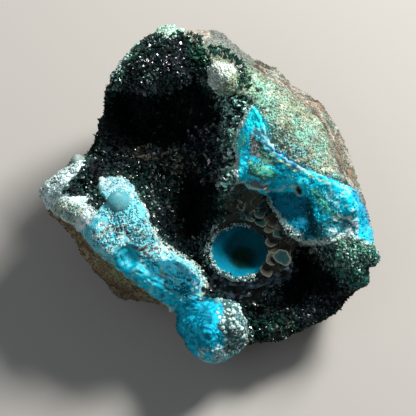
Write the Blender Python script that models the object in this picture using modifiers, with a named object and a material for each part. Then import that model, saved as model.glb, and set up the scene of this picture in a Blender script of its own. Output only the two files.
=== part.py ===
"""A hand-sized mineral specimen: brown layered rock, a hollow lined with dark crystals, turquoise crusts.

The broken face lies nearly level and is described by what is seen from a little in front of straight above:
across (u) and up (v) the sight plane, with the height z above the ground, all in millimetres.
"""

import math

import bmesh
import bpy
import numpy as np
from mathutils import Vector, noise

MM = 0.001
SIGHT = math.radians(75)  # how high above the ground the face is seen from
GAP = 0.35  # between neighbouring pieces
SEED = 7

CRUST_THICKNESS = 3.0
LEDGE_THICKNESS = 3.0
DRUSE_THICKNESS = 3.0
CRYSTAL_CELL = 3.9  # spacing of the crystals
CRYSTAL_HEIGHT = (1.0, 2.5)
CRYSTAL_FOOT = 0.6  # how far below the relief they start
TIP_LEAN = 0.25  # sideways share of a crystal's height
FLOOR_CELL = 4.2  # spacing of the points of a crust
CELL_JITTER = 0.25  # how far those points stray, in cells
LUMP_RISE = 0.3  # height of a round lump's middle over its crust, in radii

ROCK_TRIANGLES = 1650
ROCK_DETAIL = 6  # subdivisions of the ball that the rock is shaped from
SIDE_SHARE = 0.6  # of the ball's lower half that becomes the sides; the rest closes the base
GIRTH_TUCK = 0.36  # how far the sides draw in towards the base
GROUND = -6.0  # level of the flat base, below the heights given here
BELOW_GROUND = 5.0  # what is cut off there
STRATUM = 6.0  # thickness of the rock's layers
STRATUM_DEPTH = 1.4
STRATUM_BEND = (3.0, 25.0)  # how far the layers rise and fall, and over what length
LAYERS_SET_IN = 0.35  # of the lower half, below the widest line
CHIP_DEPTH = 1.3
MEAN_CHIP = 0.6
GRAIN_FADES = 0.05  # of the upper half, above the widest line

# Roughness as (height, size) of each layer of noise.
CHIPS = [(1.0, 11.0), (0.5, 4.0)]
FACE_GRAIN = [(0.9, 6.0), (0.5, 2.5)]
CRUST_KNOBS = [(0.8, 5.0), (0.5, 2.5)]
LEDGE_WAVES = [(0.3, 4.0)]

# Levels and width of the blocks that cut, clear of the specimen.
CUT_LOW = -20.0
CUT_HIGH = 80.0
POCKET_TOP = 75.0
CUT_WIDTH = 300.0

BALL_SEAT = (-29.3, -2.3)
BALL_RADIUS = 3.8
CUP_SEAT = (10.3, -18.3)
CUP_TILT = (math.radians(-8), math.radians(4), 0)
CUP_LEVEL = 22.5
CUP_STEPS = 20
CUP_PROFILE = [  # radius, height against the rim: from the foot, up the outside, over the rim, down the bowl
    (0, -8), (6, -8), (8.6, -4.5), (9.6, -1), (9.4, 0.2), (8.7, 0.3), (8.0, -0.6), (7.2, -2.4),
    (5.6, -4.2), (3.4, -5.2), (0, -5.5),
]
CUP_ROOM = [  # the same way round the space that the rock leaves for the cup
    (0, -8 - GAP), (6, -8 - GAP), (8.6 + GAP, -4.5 - GAP), (9.7 + GAP, -1), (9.7 + GAP, 30), (0, 30),
]

# The widest line of the lump as seen, clockwise from the left tip, with its height.
GIRTH = [
    (-56.1, 0.5, 30), (-52, 4.7, 31), (-46.7, 8.7, 31), (-43.3, 11.7, 28), (-41, 13, 27),
    (-39.3, 16.7, 30), (-36.7, 21, 33), (-35.3, 25.7, 35), (-34.3, 35.3, 39), (-30.7, 41.7, 43),
    (-27.7, 45, 44), (-25, 48.7, 43), (-21.7, 52, 43), (-17, 54.7, 43), (-14.7, 56, 43),
    (-10, 56.3, 43), (-8, 55.3, 42), (-4, 54.7, 38), (3.3, 55, 34), (5.3, 54.3, 32), (9.3, 50, 30),
    (15.3, 45.3, 28), (19.7, 44.3, 27), (25.7, 39.3, 26), (31.7, 34.7, 25), (37.7, 30.3, 24),
    (41.7, 25.3, 24), (45, 18.7, 24), (47, 14, 24), (49.3, 6.7, 24), (51.3, -0.3, 23),
    (53.7, -8.3, 23), (55, -16.7, 25), (56.7, -19, 26), (56.3, -21.7, 25), (54, -24.7, 22),
    (53.7, -29.7, 20), (47.7, -33.7, 15), (43.7, -38, 13), (39.7, -41.3, 12), (35.3, -44, 11),
    (30, -46.7, 11), (22, -48.7, 11), (15.7, -50, 11), (12, -51, 11), (10, -53.3, 11),
    (5.3, -55.3, 11), (2.3, -56, 10), (-1.7, -55, 11), (-5, -52.3, 12), (-7.7, -49.3, 13),
    (-9.7, -45, 15), (-10.3, -39.7, 17), (-12.7, -37.7, 18.5), (-17.3, -36.3, 19),
    (-24.7, -35.3, 15), (-30.3, -34.7, 13), (-34, -30.7, 13), (-37, -26.7, 14), (-41.7, -21, 16),
    (-44, -16, 18), (-46.7, -12.7, 20), (-52, -8, 22), (-54.7, -3.7, 25),
]

# Heights of the face inside that line, form by form.
FACE = {
    "crest": [(-12.7, 54, 46), (-8.3, 50, 48), (-4, 52.3, 44), (2.3, 51, 42), (10.7, 47, 37)],
    "dome": [
        (-19.3, 50, 49), (-16, 44.3, 53), (-22.7, 41.7, 51), (-29.3, 38.3, 46), (-32.7, 33.3, 41),
        (-19.3, 36.3, 47), (-11, 40, 48),
    ],
    "cleft": [(-5, 41, 42), (-6, 34.3, 34), (0, 44.3, 47)],
    "pale lump": [(4.7, 39.7, 52), (9, 42.3, 46), (2, 34.3, 42), (10, 37, 46), (11.7, 33, 46)],
    "upper hollow": [
        (-27.5, 29.7, 25), (-28.5, 21.7, 24), (-24.3, 26, 21), (-16, 28, 20), (-7.7, 28, 21),
        (-0.7, 26.3, 25), (-26, 18.3, 20), (-14.3, 18.3, 18), (-4.3, 20, 20), (5.7, 28.3, 36),
    ],
    "step between the hollows": [(-22.7, 14, 22), (-14.3, 14.3, 23), (-7, 12.3, 21)],
    "left slope": [
        (-34, 16.7, 31), (-31, 11.7, 26), (-38.7, 10, 33), (-26, 6.7, 22), (-17.7, 5, 19),
        (-41, 3.3, 33), (-34.3, 2.3, 33), (-21, 0, 25),
    ],
    "middle pit": [
        (-3.7, -3.3, 8), (-6, 5, 12), (-0.3, -11, 11), (-10, -3.3, 13), (-12, -10, 15),
        (-4.3, -15, 15), (-3.3, -22.3, 18), (-7.7, -18.3, 16), (-14.3, -15, 17), (-16, -9, 19),
    ],
    "right wall of the pit": [
        (-1.7, 15, 23), (3.3, 20, 31), (1.7, 10, 24), (6, 15, 34), (5.3, 3.3, 27), (3.3, -3.3, 20),
    ],
    "pale dome": [
        (12.7, 25.7, 45), (10, 18.3, 43), (10, 10, 41), (9.3, 4, 39), (18, 36.3, 45),
        (25.7, 31.7, 44), (20.7, 25.7, 50), (30.7, 21.7, 47), (38, 20, 38), (25.7, 15, 47),
        (37.3, 11.7, 43), (43.3, 10, 35),
    ],
    "ledge": [
        (16.7, 15, 45), (21.3, 11.7, 45), (30.7, 7, 43), (44, 3, 40), (18, 3.7, 41), (29.3, 2.3, 40),
        (40.7, 1, 40), (47.3, -1.7, 38), (38, -5.7, 36), (45.7, -8.3, 33),
    ],
    "recess under the ledge": [
        (20, -0.3, 31), (27.3, -3.7, 31), (32.3, -5, 33), (25.7, -9, 29), (29.3, -13.7, 29),
        (38, -15.3, 30), (44.7, -13, 31),
    ],
    "grey crust": [
        (10.7, 0.3, 30), (13.3, -4, 29), (7, -9, 25), (20, -10.3, 28), (10.7, -7.7, 27),
        (26.7, -15, 27), (26.7, -22.3, 25), (22.7, -18.3, 25),
    ],
    "around the cup": [(-0.7, -18.3, 22), (2, -27, 21), (10.7, -28.3, 22), (20, -27, 23)],
    "right shoulder": [
        (51.7, -6.7, 30), (52.7, -13.7, 28), (50, -20, 30), (45.7, -22.3, 27), (39, -19.7, 24),
        (34.7, -17.7, 20), (54.7, -21, 28), (52.3, -26.7, 24),
    ],
    "lower hollow": [
        (31.3, -22.3, 9), (38, -27, 8), (44, -29.7, 15), (27.3, -31, 10), (30.7, -36.7, 9),
        (20.7, -37, 12), (40.7, -34.3, 12), (22.3, -33.7, 13),
    ],
    "lower edge": [
        (47.3, -31, 18), (36.7, -39.7, 13), (29, -43, 13), (20, -45.3, 13), (14, -46.7, 13),
        (18, -32.3, 18), (9, -33.7, 18), (2.3, -31.7, 20),
    ],
    "left crust": [
        (-54, 0.3, 33), (-49.3, 5.7, 37), (-44.3, 10, 36), (-48.7, -1, 34), (-42.7, -3.3, 34),
        (-49.3, -5, 33), (-39.3, -9, 37), (-30, -6.3, 38), (-30, -0.3, 38), (-24, -3.3, 36),
        (-34.7, -14.3, 37), (-26, -12.3, 37), (-20.7, -11, 35), (-18.7, -18.3, 33), (-26, -21, 32),
        (-12.7, -22.3, 28), (-6.7, -24.3, 26), (-19.3, -25.7, 31), (-11, -29.3, 28),
        (-4, -29.7, 25), (-2, -26.3, 21),
    ],
    "edge over the left wall": [
        (-50, -6, 30), (-44, -9, 32), (-40, -14.3, 32), (-36, -19.3, 32), (-32, -22.3, 31),
        (-26.7, -25.7, 30), (-22, -30.3, 27), (-17.3, -33.7, 24), (-13.3, -36, 21),
    ],
    "tongue": [
        (-6.7, -33.7, 24), (-2.7, -36.3, 22), (-6.7, -39, 20), (-1, -42.3, 24), (-2, -48.3, 22),
        (1.3, -53.7, 15), (4.7, -50, 18), (8, -41, 23), (11.7, -45, 20), (10, -50, 15), (6.7, -36, 20),
    ],
}

# The edges of the crusts as seen, each a closed line.
CRYSTAL_EDGE = [
    (-39, 2), (-47.5, 1.5), (-44.6, 5), (-40.4, 9.3), (-37.6, 14.5), (-35.2, 21), (-33.6, 26),
    (-32.7, 35), (-29.5, 40.3), (-26, 43.8), (-23.5, 47.4), (-20.2, 50.5), (-15, 53.8), (-10, 54.2),
    (-7.6, 51), (-3, 47.5), (0.5, 44.5), (8.5, 45.5), (12.5, 42.5), (11, 36.5), (16, 33),
    (13.3, 30), (12.5, 25.5), (10, 21.5), (9.2, 17), (10, 12), (9, 6), (10, 3.5), (5.5, 0),
    (5.5, -7), (10, -9), (20, -14), (22.5, -24), (27.5, -18), (31, -17.5), (36, -21.5), (41, -22.5),
    (47, -19.5), (53, -18), (53.7, -20.5), (51.5, -24.5), (50.6, -28.2), (45.4, -31.6),
    (41.7, -35.6), (37.9, -38.6), (34, -41.3), (29, -43.8), (22, -45.6), (14.5, -46.4), (12, -41),
    (9, -37.5), (3, -37), (-5, -33), (-6, -26.5), (-13, -22), (-22, -11), (-25, 0), (-31, 0),
    (-35.5, -8), (-40, -5), (-44, -2.5),
]
CRUST_EDGE = [
    (-55.3, 0.5), (-51.5, 4), (-46.5, 8), (-42.5, 11.5), (-41.7, 9.3), (-44, 6), (-48, 2.3),
    (-48.5, -0.3), (-42, -0.6), (-39.3, -2.5), (-37, -5.5), (-34, -2.5), (-36.3, 1),
    (-34, 5.3), (-27, 4.5), (-24.3, 2), (-20.7, -3.7), (-19.7, -8.3), (-18.3, -13), (-15.3, -17.7),
    (-9.7, -20.7), (-3.7, -24.7), (-2.3, -29), (-3, -31.7), (3.3, -35), (9, -35.5), (11, -39),
    (13.8, -45.5), (13.3, -48), (11.5, -51.9), (9.3, -54), (5.6, -56), (2.3, -56.7),
    (-2, -55.7), (-5.5, -52.9), (-8.3, -49.6), (-10.3, -45.1), (-10.9, -39.9), (-12.5, -37),
    (-17.3, -34.4), (-22, -31),
    (-26.7, -26.3), (-32, -23), (-36, -19.8), (-40, -14.7), (-44, -9.2), (-50, -6.3), (-54, -3.3),
]
LEDGE_EDGE = [
    (14, 30), (18.3, 25), (20.5, 18), (24, 13.5), (31.7, 9.5), (40, 5.5), (47.3, 2.3), (50, -1.3),
    (52.5, -8), (54, -15.5), (50, -13.5), (44.3, -13), (38, -14.8), (30, -13.5), (25.5, -10.5),
    (21.5, -5.5), (18.7, -0.3), (14, 2.5), (10, 4.3), (10.3, 12), (9.8, 17), (10.7, 21), (13, 25),
]
GRAPES = [  # the white crust of small rounded lumps beside the tongue: seat and radius
    (5.5, -38, 1.7), (8.5, -39.5, 1.9), (6, -42, 1.8), (9.5, -43, 2.0), (7, -46, 1.8),
    (10.5, -46.5, 1.6), (8, -49, 1.5), (11.8, -44.5, 1.2),
]


def stand(seen):
    """Points given by what is seen (u, v) and their height, as x, y, z."""
    u, v, z = np.asarray(seen, float).T
    return np.column_stack([u, (v - z * math.cos(SIGHT)) / math.sin(SIGHT), z])


class Relief:
    """A height over x and y that passes smoothly through every landmark."""

    ROUNDING = 3.0
    STEPS_DOWN = 40  # towards the place that is seen at u, v
    STEP_SHARE = 0.5  # of the way that is left

    def __init__(self, points):
        self.centres = points[:, :2]
        around = np.column_stack([np.ones(len(points)), self.centres])
        corner = np.zeros((3, 3))
        system = np.block([[self.spread(self.centres), around], [around.T, corner]])
        self.weights = np.linalg.solve(system, np.concatenate([points[:, 2], np.zeros(3)]))

    def spread(self, places):
        apart = places[:, None, :] - self.centres[None, :, :]
        return np.sqrt((apart**2).sum(axis=2) + self.ROUNDING**2)

    def height(self, places):
        places = np.atleast_2d(np.asarray(places, float))
        plane = np.column_stack([np.ones(len(places)), places])
        return np.column_stack([self.spread(places), plane]) @ self.weights

    def under(self, seen):
        """x and y of the places on the relief that are seen at u, v."""
        seen = np.atleast_2d(np.asarray(seen, float))
        places = seen.copy()
        for _ in range(self.STEPS_DOWN):
            lowered = (seen[:, 1] - self.height(places) * math.cos(SIGHT)) / math.sin(SIGHT)
            places[:, 1] += self.STEP_SHARE * (lowered - places[:, 1])
        return places


girth = stand(GIRTH)
relief = Relief(np.vstack([girth] + [stand(points) for points in FACE.values()]))
centre = girth[:, :2].mean(axis=0)


def clear_scene():
    for item in list(bpy.data.objects):
        bpy.data.objects.remove(item)


def new_collection(name):
    made = bpy.data.collections.new(name)
    bpy.context.scene.collection.children.link(made)
    return made


def paint(item, name, colour, roughness):
    """Gives a piece its own material."""
    made = bpy.data.materials.new(name)
    made.use_nodes = True
    shader = made.node_tree.nodes["Principled BSDF"]
    shader.inputs["Base Color"].default_value = (*colour, 1)
    shader.inputs["Roughness"].default_value = roughness
    shader.inputs["Metallic"].default_value = 0
    item.data.materials.append(made)


def rough(point, layers):
    return sum(height * noise.noise(point / size) for height, size in layers)


def object_from(bm, name, collection):
    bmesh.ops.recalc_face_normals(bm, faces=bm.faces)
    bmesh.ops.scale(bm, vec=Vector((MM, MM, MM)), verts=bm.verts)
    mesh = bpy.data.meshes.new(name)
    bm.to_mesh(mesh)
    bm.free()
    made = bpy.data.objects.new(name, mesh)
    collection.objects.link(made)
    if collection is cutters:
        made.hide_render = True
        made.display_type = "WIRE"
    return made


def boolean(target, operation, tool):
    modifier = target.modifiers.new(f"{operation.title()} {tool.name}", "BOOLEAN")
    modifier.operation = operation
    modifier.solver = "EXACT"
    modifier.object = tool


def grown(outline, by):
    """The closed line moved outwards by a distance."""
    ahead = np.roll(outline, -1, axis=0) - outline
    ahead /= np.linalg.norm(ahead, axis=1, keepdims=True)
    along = ahead + np.roll(ahead, 1, axis=0)
    along /= np.linalg.norm(along, axis=1, keepdims=True)
    outwards = np.column_stack([along[:, 1], -along[:, 0]])
    turned = np.roll(outline, -1, axis=0)
    area = (outline[:, 0] * turned[:, 1] - turned[:, 0] * outline[:, 1]).sum() / 2
    return outline + outwards * by * math.copysign(1, area)


def prism(name, outline):
    """An upright block whose outline is a closed line of x, y points."""
    curve = bpy.data.curves.new(name, "CURVE")
    curve.dimensions = "2D"
    curve.fill_mode = "BOTH"
    curve.extrude = (CUT_HIGH - CUT_LOW) / 2 * MM
    spline = curve.splines.new("POLY")
    spline.points.add(len(outline) - 1)
    for point, (x, y) in zip(spline.points, outline, strict=True):
        point.co = (x * MM, y * MM, 0, 1)
    spline.use_cyclic_u = True
    drawn = bpy.data.objects.new(name, curve)
    drawn.location.z = (CUT_HIGH + CUT_LOW) / 2 * MM
    cutters.objects.link(drawn)
    bpy.context.view_layer.update()
    graph = bpy.context.evaluated_depsgraph_get()
    mesh = bpy.data.meshes.new_from_object(drawn.evaluated_get(graph))
    mesh.transform(drawn.matrix_world)
    bpy.data.objects.remove(drawn)
    bm = bmesh.new()
    bm.from_mesh(mesh)
    bmesh.ops.remove_doubles(bm, verts=bm.verts, dist=1e-6)
    bmesh.ops.scale(bm, vec=Vector((1 / MM, 1 / MM, 1 / MM)), verts=bm.verts)
    return object_from(bm, name, cutters)


def slab(name, collection, outline, cell, floor_drop, top, crystals=False):
    """A block over an outline's extent that follows the relief, its floor a set drop below it."""
    low = outline.min(axis=0) - cell
    span = outline.max(axis=0) + cell - low
    steps = np.ceil(span / cell).astype(int)
    bm = bmesh.new()
    bmesh.ops.create_grid(bm, x_segments=int(steps[0]), y_segments=int(steps[1]), size=0.5)
    draw = np.random.default_rng(SEED)
    places = np.array([vert.co.xy for vert in bm.verts]) + 0.5
    places = low + places * span + draw.uniform(-CELL_JITTER, CELL_JITTER, (len(places), 2)) * cell
    heights = relief.height(places)
    for vert, (x, y), z in zip(bm.verts, places, heights, strict=True):
        vert.co = (x, y, z - floor_drop)
    raised = bmesh.ops.extrude_face_region(bm, geom=bm.faces[:])["geom"]
    lifted = [item for item in raised if isinstance(item, bmesh.types.BMVert)]
    for vert in lifted:
        vert.co.z = top(vert.co.x, vert.co.y, vert.co.z + floor_drop)
    if crystals:
        faces = [item for item in raised if isinstance(item, bmesh.types.BMFace)]
        tips = bmesh.ops.poke(bm, faces=faces)["verts"]
        bm.normal_update()
        for tip in tips:
            lean = Vector(draw.uniform(-TIP_LEAN, TIP_LEAN, 3)) + tip.normal * math.copysign(1, tip.normal.z)
            tip.co += lean * draw.uniform(*CRYSTAL_HEIGHT)
    bmesh.ops.triangulate(bm, faces=bm.faces[:])
    return object_from(bm, name, collection)


def knobbly_top(x, y, z):
    return z + rough(Vector((x, y, z)), CRUST_KNOBS)


def smooth_top(x, y, z):
    return z + rough(Vector((x, y, z)), LEDGE_WAVES)


def crystal_foot(x, y, z):
    return z - CRYSTAL_FOOT


def far_above(x, y, z):
    return POCKET_TOP


def girth_at(angle):
    """Radius about the centre and height of the widest line in a direction."""
    arms = girth[:, :2] - centre
    angles = np.arctan2(arms[:, 1], arms[:, 0])
    order = np.argsort(angles)
    radius = np.interp(angle, angles[order], np.hypot(*arms[order].T), period=math.tau)
    height = np.interp(angle, angles[order], girth[order, 2], period=math.tau)
    return radius, height


def rock():
    """A ball whose upper half is drawn over the face and whose lower half becomes the sides."""
    bm = bmesh.new()
    bmesh.ops.create_icosphere(bm, subdivisions=ROCK_DETAIL, radius=1)
    ball = np.array([vert.co for vert in bm.verts])
    angle = np.arctan2(ball[:, 1], ball[:, 0])
    radius, height = girth_at(angle)
    depth = np.arccos(np.clip(ball[:, 2], -1, 1)) / (math.pi / 2)
    share = np.where(depth < 1, math.sqrt(2) * np.sin(depth * math.pi / 4), 1)
    fall = np.clip((depth - 1) / SIDE_SHARE, 0, 1)
    share = np.where(depth > 1, 1 - GIRTH_TUCK * fall**2, share)
    below = (1 - GIRTH_TUCK) * (2 - depth) / (1 - SIDE_SHARE)
    share = np.where(depth > 1 + SIDE_SHARE, below, share)
    reach = share * radius
    flat = centre + np.column_stack([np.cos(angle), np.sin(angle)]) * reach[:, None]
    lowest = GROUND - BELOW_GROUND
    level = np.where(depth < 1, relief.height(flat), height - fall * (height - lowest))
    for vert, (x, y), z, down in zip(bm.verts, flat, level, depth, strict=True):
        vert.co = weathered(Vector((x, y, z)), down)
    return object_from(bm, "matrix_rock", specimen)


def weathered(point, down):
    """The rock's broken layers on its sides, and a rough grain on its face."""
    out = Vector((point.x - centre[0], point.y - centre[1], 0)).normalized()
    side = min(1, max(0, (down - 1) / LAYERS_SET_IN))
    layer = (point.z + rough(point, [STRATUM_BEND])) / STRATUM
    step = layer - math.floor(layer)
    inwards = side * (STRATUM_DEPTH * step + CHIP_DEPTH * (MEAN_CHIP + rough(point, CHIPS)))
    on_face = max(0, min(1, (1 - down) / GRAIN_FADES))
    return point - out * inwards + Vector((0, 0, on_face * rough(point, FACE_GRAIN)))


def reduce_triangles(item, wanted):
    modifier = item.modifiers.new("Coarser", "DECIMATE")
    modifier.ratio = wanted / len(item.data.polygons)


def lump(name, seat, radius):
    """A round lump that sits on the face at a place seen at u, v."""
    x, y = relief.under(seat)[0]
    bm = bmesh.new()
    bmesh.ops.create_icosphere(bm, subdivisions=2, radius=radius)
    for face in bm.faces:
        face.smooth = True
    z = relief.height((x, y))[0] + radius * LUMP_RISE
    bmesh.ops.translate(bm, vec=(x, y, z), verts=bm.verts)
    return object_from(bm, name, cutters)


def turned(name, profile, collection, location):
    """A profile of radius and height turned about an upright axis."""
    bm = bmesh.new()
    points = [bm.verts.new((radius, 0, z)) for radius, z in reversed(profile)]
    for one, other in zip(points, points[1:], strict=False):
        bm.edges.new((one, other))
    made = object_from(bm, name, collection)
    screw = made.modifiers.new("Turned", "SCREW")
    screw.steps = CUP_STEPS
    screw.render_steps = CUP_STEPS
    screw.use_smooth_shade = True
    screw.use_merge_vertices = True
    screw.merge_threshold = 0.00001
    made.location = Vector(location) * MM
    made.rotation_euler = CUP_TILT
    return made


def stand_on_origin():
    """Moves the pieces and their cutters together, so that the origin is under the middle of the whole."""
    bpy.context.view_layer.update()
    graph = bpy.context.evaluated_depsgraph_get()
    corners = []
    for item in specimen.objects:
        shown = item.evaluated_get(graph)
        corners += [shown.matrix_world @ Vector(corner) for corner in shown.bound_box]
    corners = np.array(corners)
    middle = (corners.min(axis=0) + corners.max(axis=0)) / 2
    base = bpy.data.objects.new("specimen_base", None)
    specimen.objects.link(base)
    base.location = (-middle[0], -middle[1], -corners[:, 2].min())
    for item in list(specimen.objects) + list(cutters.objects):
        if item is not base:
            item.parent = base


clear_scene()
specimen = new_collection("copper_mineral_specimen")
cutters = new_collection("cutters")

crystal_line = relief.under(CRYSTAL_EDGE)
crust_line = relief.under(CRUST_EDGE)
ledge_line = relief.under(LEDGE_EDGE)

matrix_rock = rock()
reduce_triangles(matrix_rock, ROCK_TRIANGLES)

cup_x, cup_y = relief.under(CUP_SEAT)[0]
cup_place = (cup_x, cup_y, CUP_LEVEL)
chrysocolla_cup = turned("chrysocolla_cup", CUP_PROFILE, specimen, cup_place)
cup_seat = turned("cup_seat", CUP_ROOM, cutters, cup_place)

crust_prism = prism("crust_prism", crust_line)
crust_room = prism("crust_room", grown(crust_line, GAP))
ledge_prism = prism("ledge_prism", ledge_line)
ledge_room = prism("ledge_room", grown(ledge_line, GAP))
crystal_prism = prism("crystal_prism", crystal_line)
crystal_room = prism("crystal_room", grown(crystal_line, GAP))

chrysocolla_crust = slab(
    "chrysocolla_crust", specimen, crust_line, FLOOR_CELL, CRUST_THICKNESS, knobbly_top
)
boolean(chrysocolla_crust, "INTERSECT", crust_prism)
boolean(chrysocolla_crust, "UNION", lump("ball", BALL_SEAT, BALL_RADIUS))
for number, (u, v, radius) in enumerate(GRAPES):
    boolean(chrysocolla_crust, "UNION", lump(f"grape_{number}", (u, v), radius))

chrysocolla_ledge = slab(
    "chrysocolla_ledge", specimen, ledge_line, FLOOR_CELL, LEDGE_THICKNESS, smooth_top
)
boolean(chrysocolla_ledge, "INTERSECT", ledge_prism)
boolean(chrysocolla_ledge, "DIFFERENCE", crust_room)

crystal_crust = slab(
    "crystal_crust", specimen, crystal_line, CRYSTAL_CELL, DRUSE_THICKNESS, crystal_foot, crystals=True
)
boolean(crystal_crust, "INTERSECT", crystal_prism)
for room in (crust_room, ledge_room, cup_seat):
    boolean(crystal_crust, "DIFFERENCE", room)

crust_pocket = slab(
    "crust_pocket", cutters, crust_line, FLOOR_CELL, CRUST_THICKNESS + GAP, far_above
)
boolean(crust_pocket, "INTERSECT", crust_room)
ledge_pocket = slab(
    "ledge_pocket", cutters, ledge_line, FLOOR_CELL, LEDGE_THICKNESS + GAP, far_above
)
boolean(ledge_pocket, "INTERSECT", ledge_room)
crystal_pocket = slab(
    "crystal_pocket", cutters, crystal_line, CRYSTAL_CELL, DRUSE_THICKNESS + GAP, far_above
)
boolean(crystal_pocket, "INTERSECT", crystal_room)
boolean(crystal_pocket, "DIFFERENCE", crust_prism)
boolean(crystal_pocket, "DIFFERENCE", ledge_prism)

ground_block = bmesh.new()
bmesh.ops.create_cube(ground_block, size=1)
bmesh.ops.scale(ground_block, vec=(CUT_WIDTH, CUT_WIDTH, 2 * BELOW_GROUND), verts=ground_block.verts)
bmesh.ops.translate(ground_block, vec=(0, 0, GROUND - BELOW_GROUND), verts=ground_block.verts)
ground_cut = object_from(ground_block, "ground_cut", cutters)
for pocket in (crust_pocket, ledge_pocket, crystal_pocket, cup_seat, ground_cut):
    boolean(matrix_rock, "DIFFERENCE", pocket)

paint(matrix_rock, "brown_layered_rock", (0.16, 0.12, 0.07), 0.9)
paint(crystal_crust, "green_black_crystals", (0.007, 0.016, 0.014), 0.25)
paint(chrysocolla_crust, "pale_turquoise_crust", (0.19, 0.5, 0.58), 0.75)
paint(chrysocolla_ledge, "bright_turquoise_vein", (0.003, 0.35, 0.51), 0.6)
paint(chrysocolla_cup, "deep_turquoise_cup", (0.002, 0.16, 0.24), 0.5)

stand_on_origin()
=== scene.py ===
import math

import bmesh
import bpy
import numpy as np
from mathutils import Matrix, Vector


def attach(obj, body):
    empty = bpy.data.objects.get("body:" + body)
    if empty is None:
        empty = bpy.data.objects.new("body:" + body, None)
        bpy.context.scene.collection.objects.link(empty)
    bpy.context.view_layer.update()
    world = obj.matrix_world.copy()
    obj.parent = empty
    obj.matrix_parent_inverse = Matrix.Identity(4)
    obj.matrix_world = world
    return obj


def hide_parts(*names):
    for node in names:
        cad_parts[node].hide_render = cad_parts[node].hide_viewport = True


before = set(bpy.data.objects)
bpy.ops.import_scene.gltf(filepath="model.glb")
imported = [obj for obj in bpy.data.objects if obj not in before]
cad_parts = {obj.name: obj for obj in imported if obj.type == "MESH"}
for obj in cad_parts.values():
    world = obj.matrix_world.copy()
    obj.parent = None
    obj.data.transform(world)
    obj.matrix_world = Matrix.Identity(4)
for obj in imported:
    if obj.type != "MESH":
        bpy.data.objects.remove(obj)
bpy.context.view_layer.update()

# Lengths below are millimetres in the face's own frame, which the solids' frame is moved from by FACE_SHIFT.
MM = 0.001
FACE_SHIFT = np.array([-0.553, 6.627, 6.0])
SIGHT = math.radians(75)  # how high above the ground the face is seen from
PICTURE = 416  # the picture's side in pixels
PIXEL = 1 / 3  # millimetres across one pixel on the sight plane
PICTURE_ORIGIN = np.array([208.0, 195.0])  # the pixel over the face's origin
KEY_PLACE = (0.42, 0.46, 0.56)  # metres
FILL_PLACE = (-0.5, -0.3, 0.8)  # metres

GROUND = -6.0
BELOW_GROUND = 5.0
GIRTH_TUCK = 0.36
STRATUM = 6.0
STRATUM_DEPTH = 1.4
CHIP_DEPTH = 1.3
SKIN_VOXEL = 0.68
CRUST_THICKNESS = 1.1
HIGH_ROCK = 51.0  # above it the rock is drawn down by HIGH_SHARE, to leave room for the crystals
HIGH_SHARE = 0.6

DISH_CENTRE = (128, 257)  # pixel
CUP_CENTRE = (240, 248.5)  # pixel
CUP_RADIUS = 10.3
PLATE_SIZE = 3.2
CUP_LEVEL = 22.5
WELL_DEPTH = 9.0  # how far the rock is sunk under the cup
WELL_RISE = 12.0
CUP_TILT = (math.radians(-8), math.radians(4))
HOLE_CENTRE = (299, 190)  # pixel
RING_CENTRE = (253.5, 295)  # pixel
PALE_CHIP = (79, 163)  # pixel
LEFT_SIDE = 180  # pixels; the wall of bare rock shows left of this and below the next
LOWER_SIDE = 196
BALL_CENTRE = (119, 202)  # pixel
BALL_RADIUS = 3.8

# The widest line of the lump as seen (u, v) with its height, clockwise from the left tip.
GIRTH = [
    (-56.1, 0.5, 30), (-52, 4.7, 31), (-46.7, 8.7, 31), (-43.3, 11.7, 28), (-41, 13, 27), (-39.3, 16.7, 30),
    (-36.7, 21, 33), (-35.3, 25.7, 35), (-34.3, 35.3, 39), (-30.7, 41.7, 43), (-27.7, 45, 44),
    (-25, 48.7, 43), (-21.7, 52, 43), (-17, 54.7, 43), (-14.7, 56, 43), (-10, 56.3, 43), (-8, 55.3, 42),
    (-4, 54.7, 38), (3.3, 55, 34), (5.3, 54.3, 32), (9.3, 50, 30), (15.3, 45.3, 28), (19.7, 44.3, 27),
    (25.7, 39.3, 26), (31.7, 34.7, 25), (37.7, 30.3, 24), (41.7, 25.3, 24), (45, 18.7, 24), (47, 14, 24),
    (49.3, 6.7, 24), (51.3, -0.3, 23), (53.7, -8.3, 23), (55, -16.7, 25), (56.7, -19, 26), (56.3, -21.7, 25),
    (54, -24.7, 22), (53.7, -29.7, 20), (47.7, -33.7, 15), (43.7, -38, 13), (39.7, -41.3, 12),
    (35.3, -44, 11), (30, -46.7, 11), (22, -48.7, 11), (15.7, -50, 11), (12, -51, 11), (10, -53.3, 11),
    (5.3, -55.3, 11), (2.3, -56, 10), (-1.7, -55, 11), (-5, -52.3, 12), (-7.7, -49.3, 13), (-9.7, -45, 15),
    (-10.3, -39.7, 17), (-12.7, -37.7, 18.5), (-17.3, -36.3, 19), (-24.7, -35.3, 15), (-30.3, -34.7, 13),
    (-34, -30.7, 13), (-37, -26.7, 14), (-41.7, -21, 16), (-44, -16, 18), (-46.7, -12.7, 20), (-52, -8, 22),
    (-54.7, -3.7, 25),
]

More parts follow.
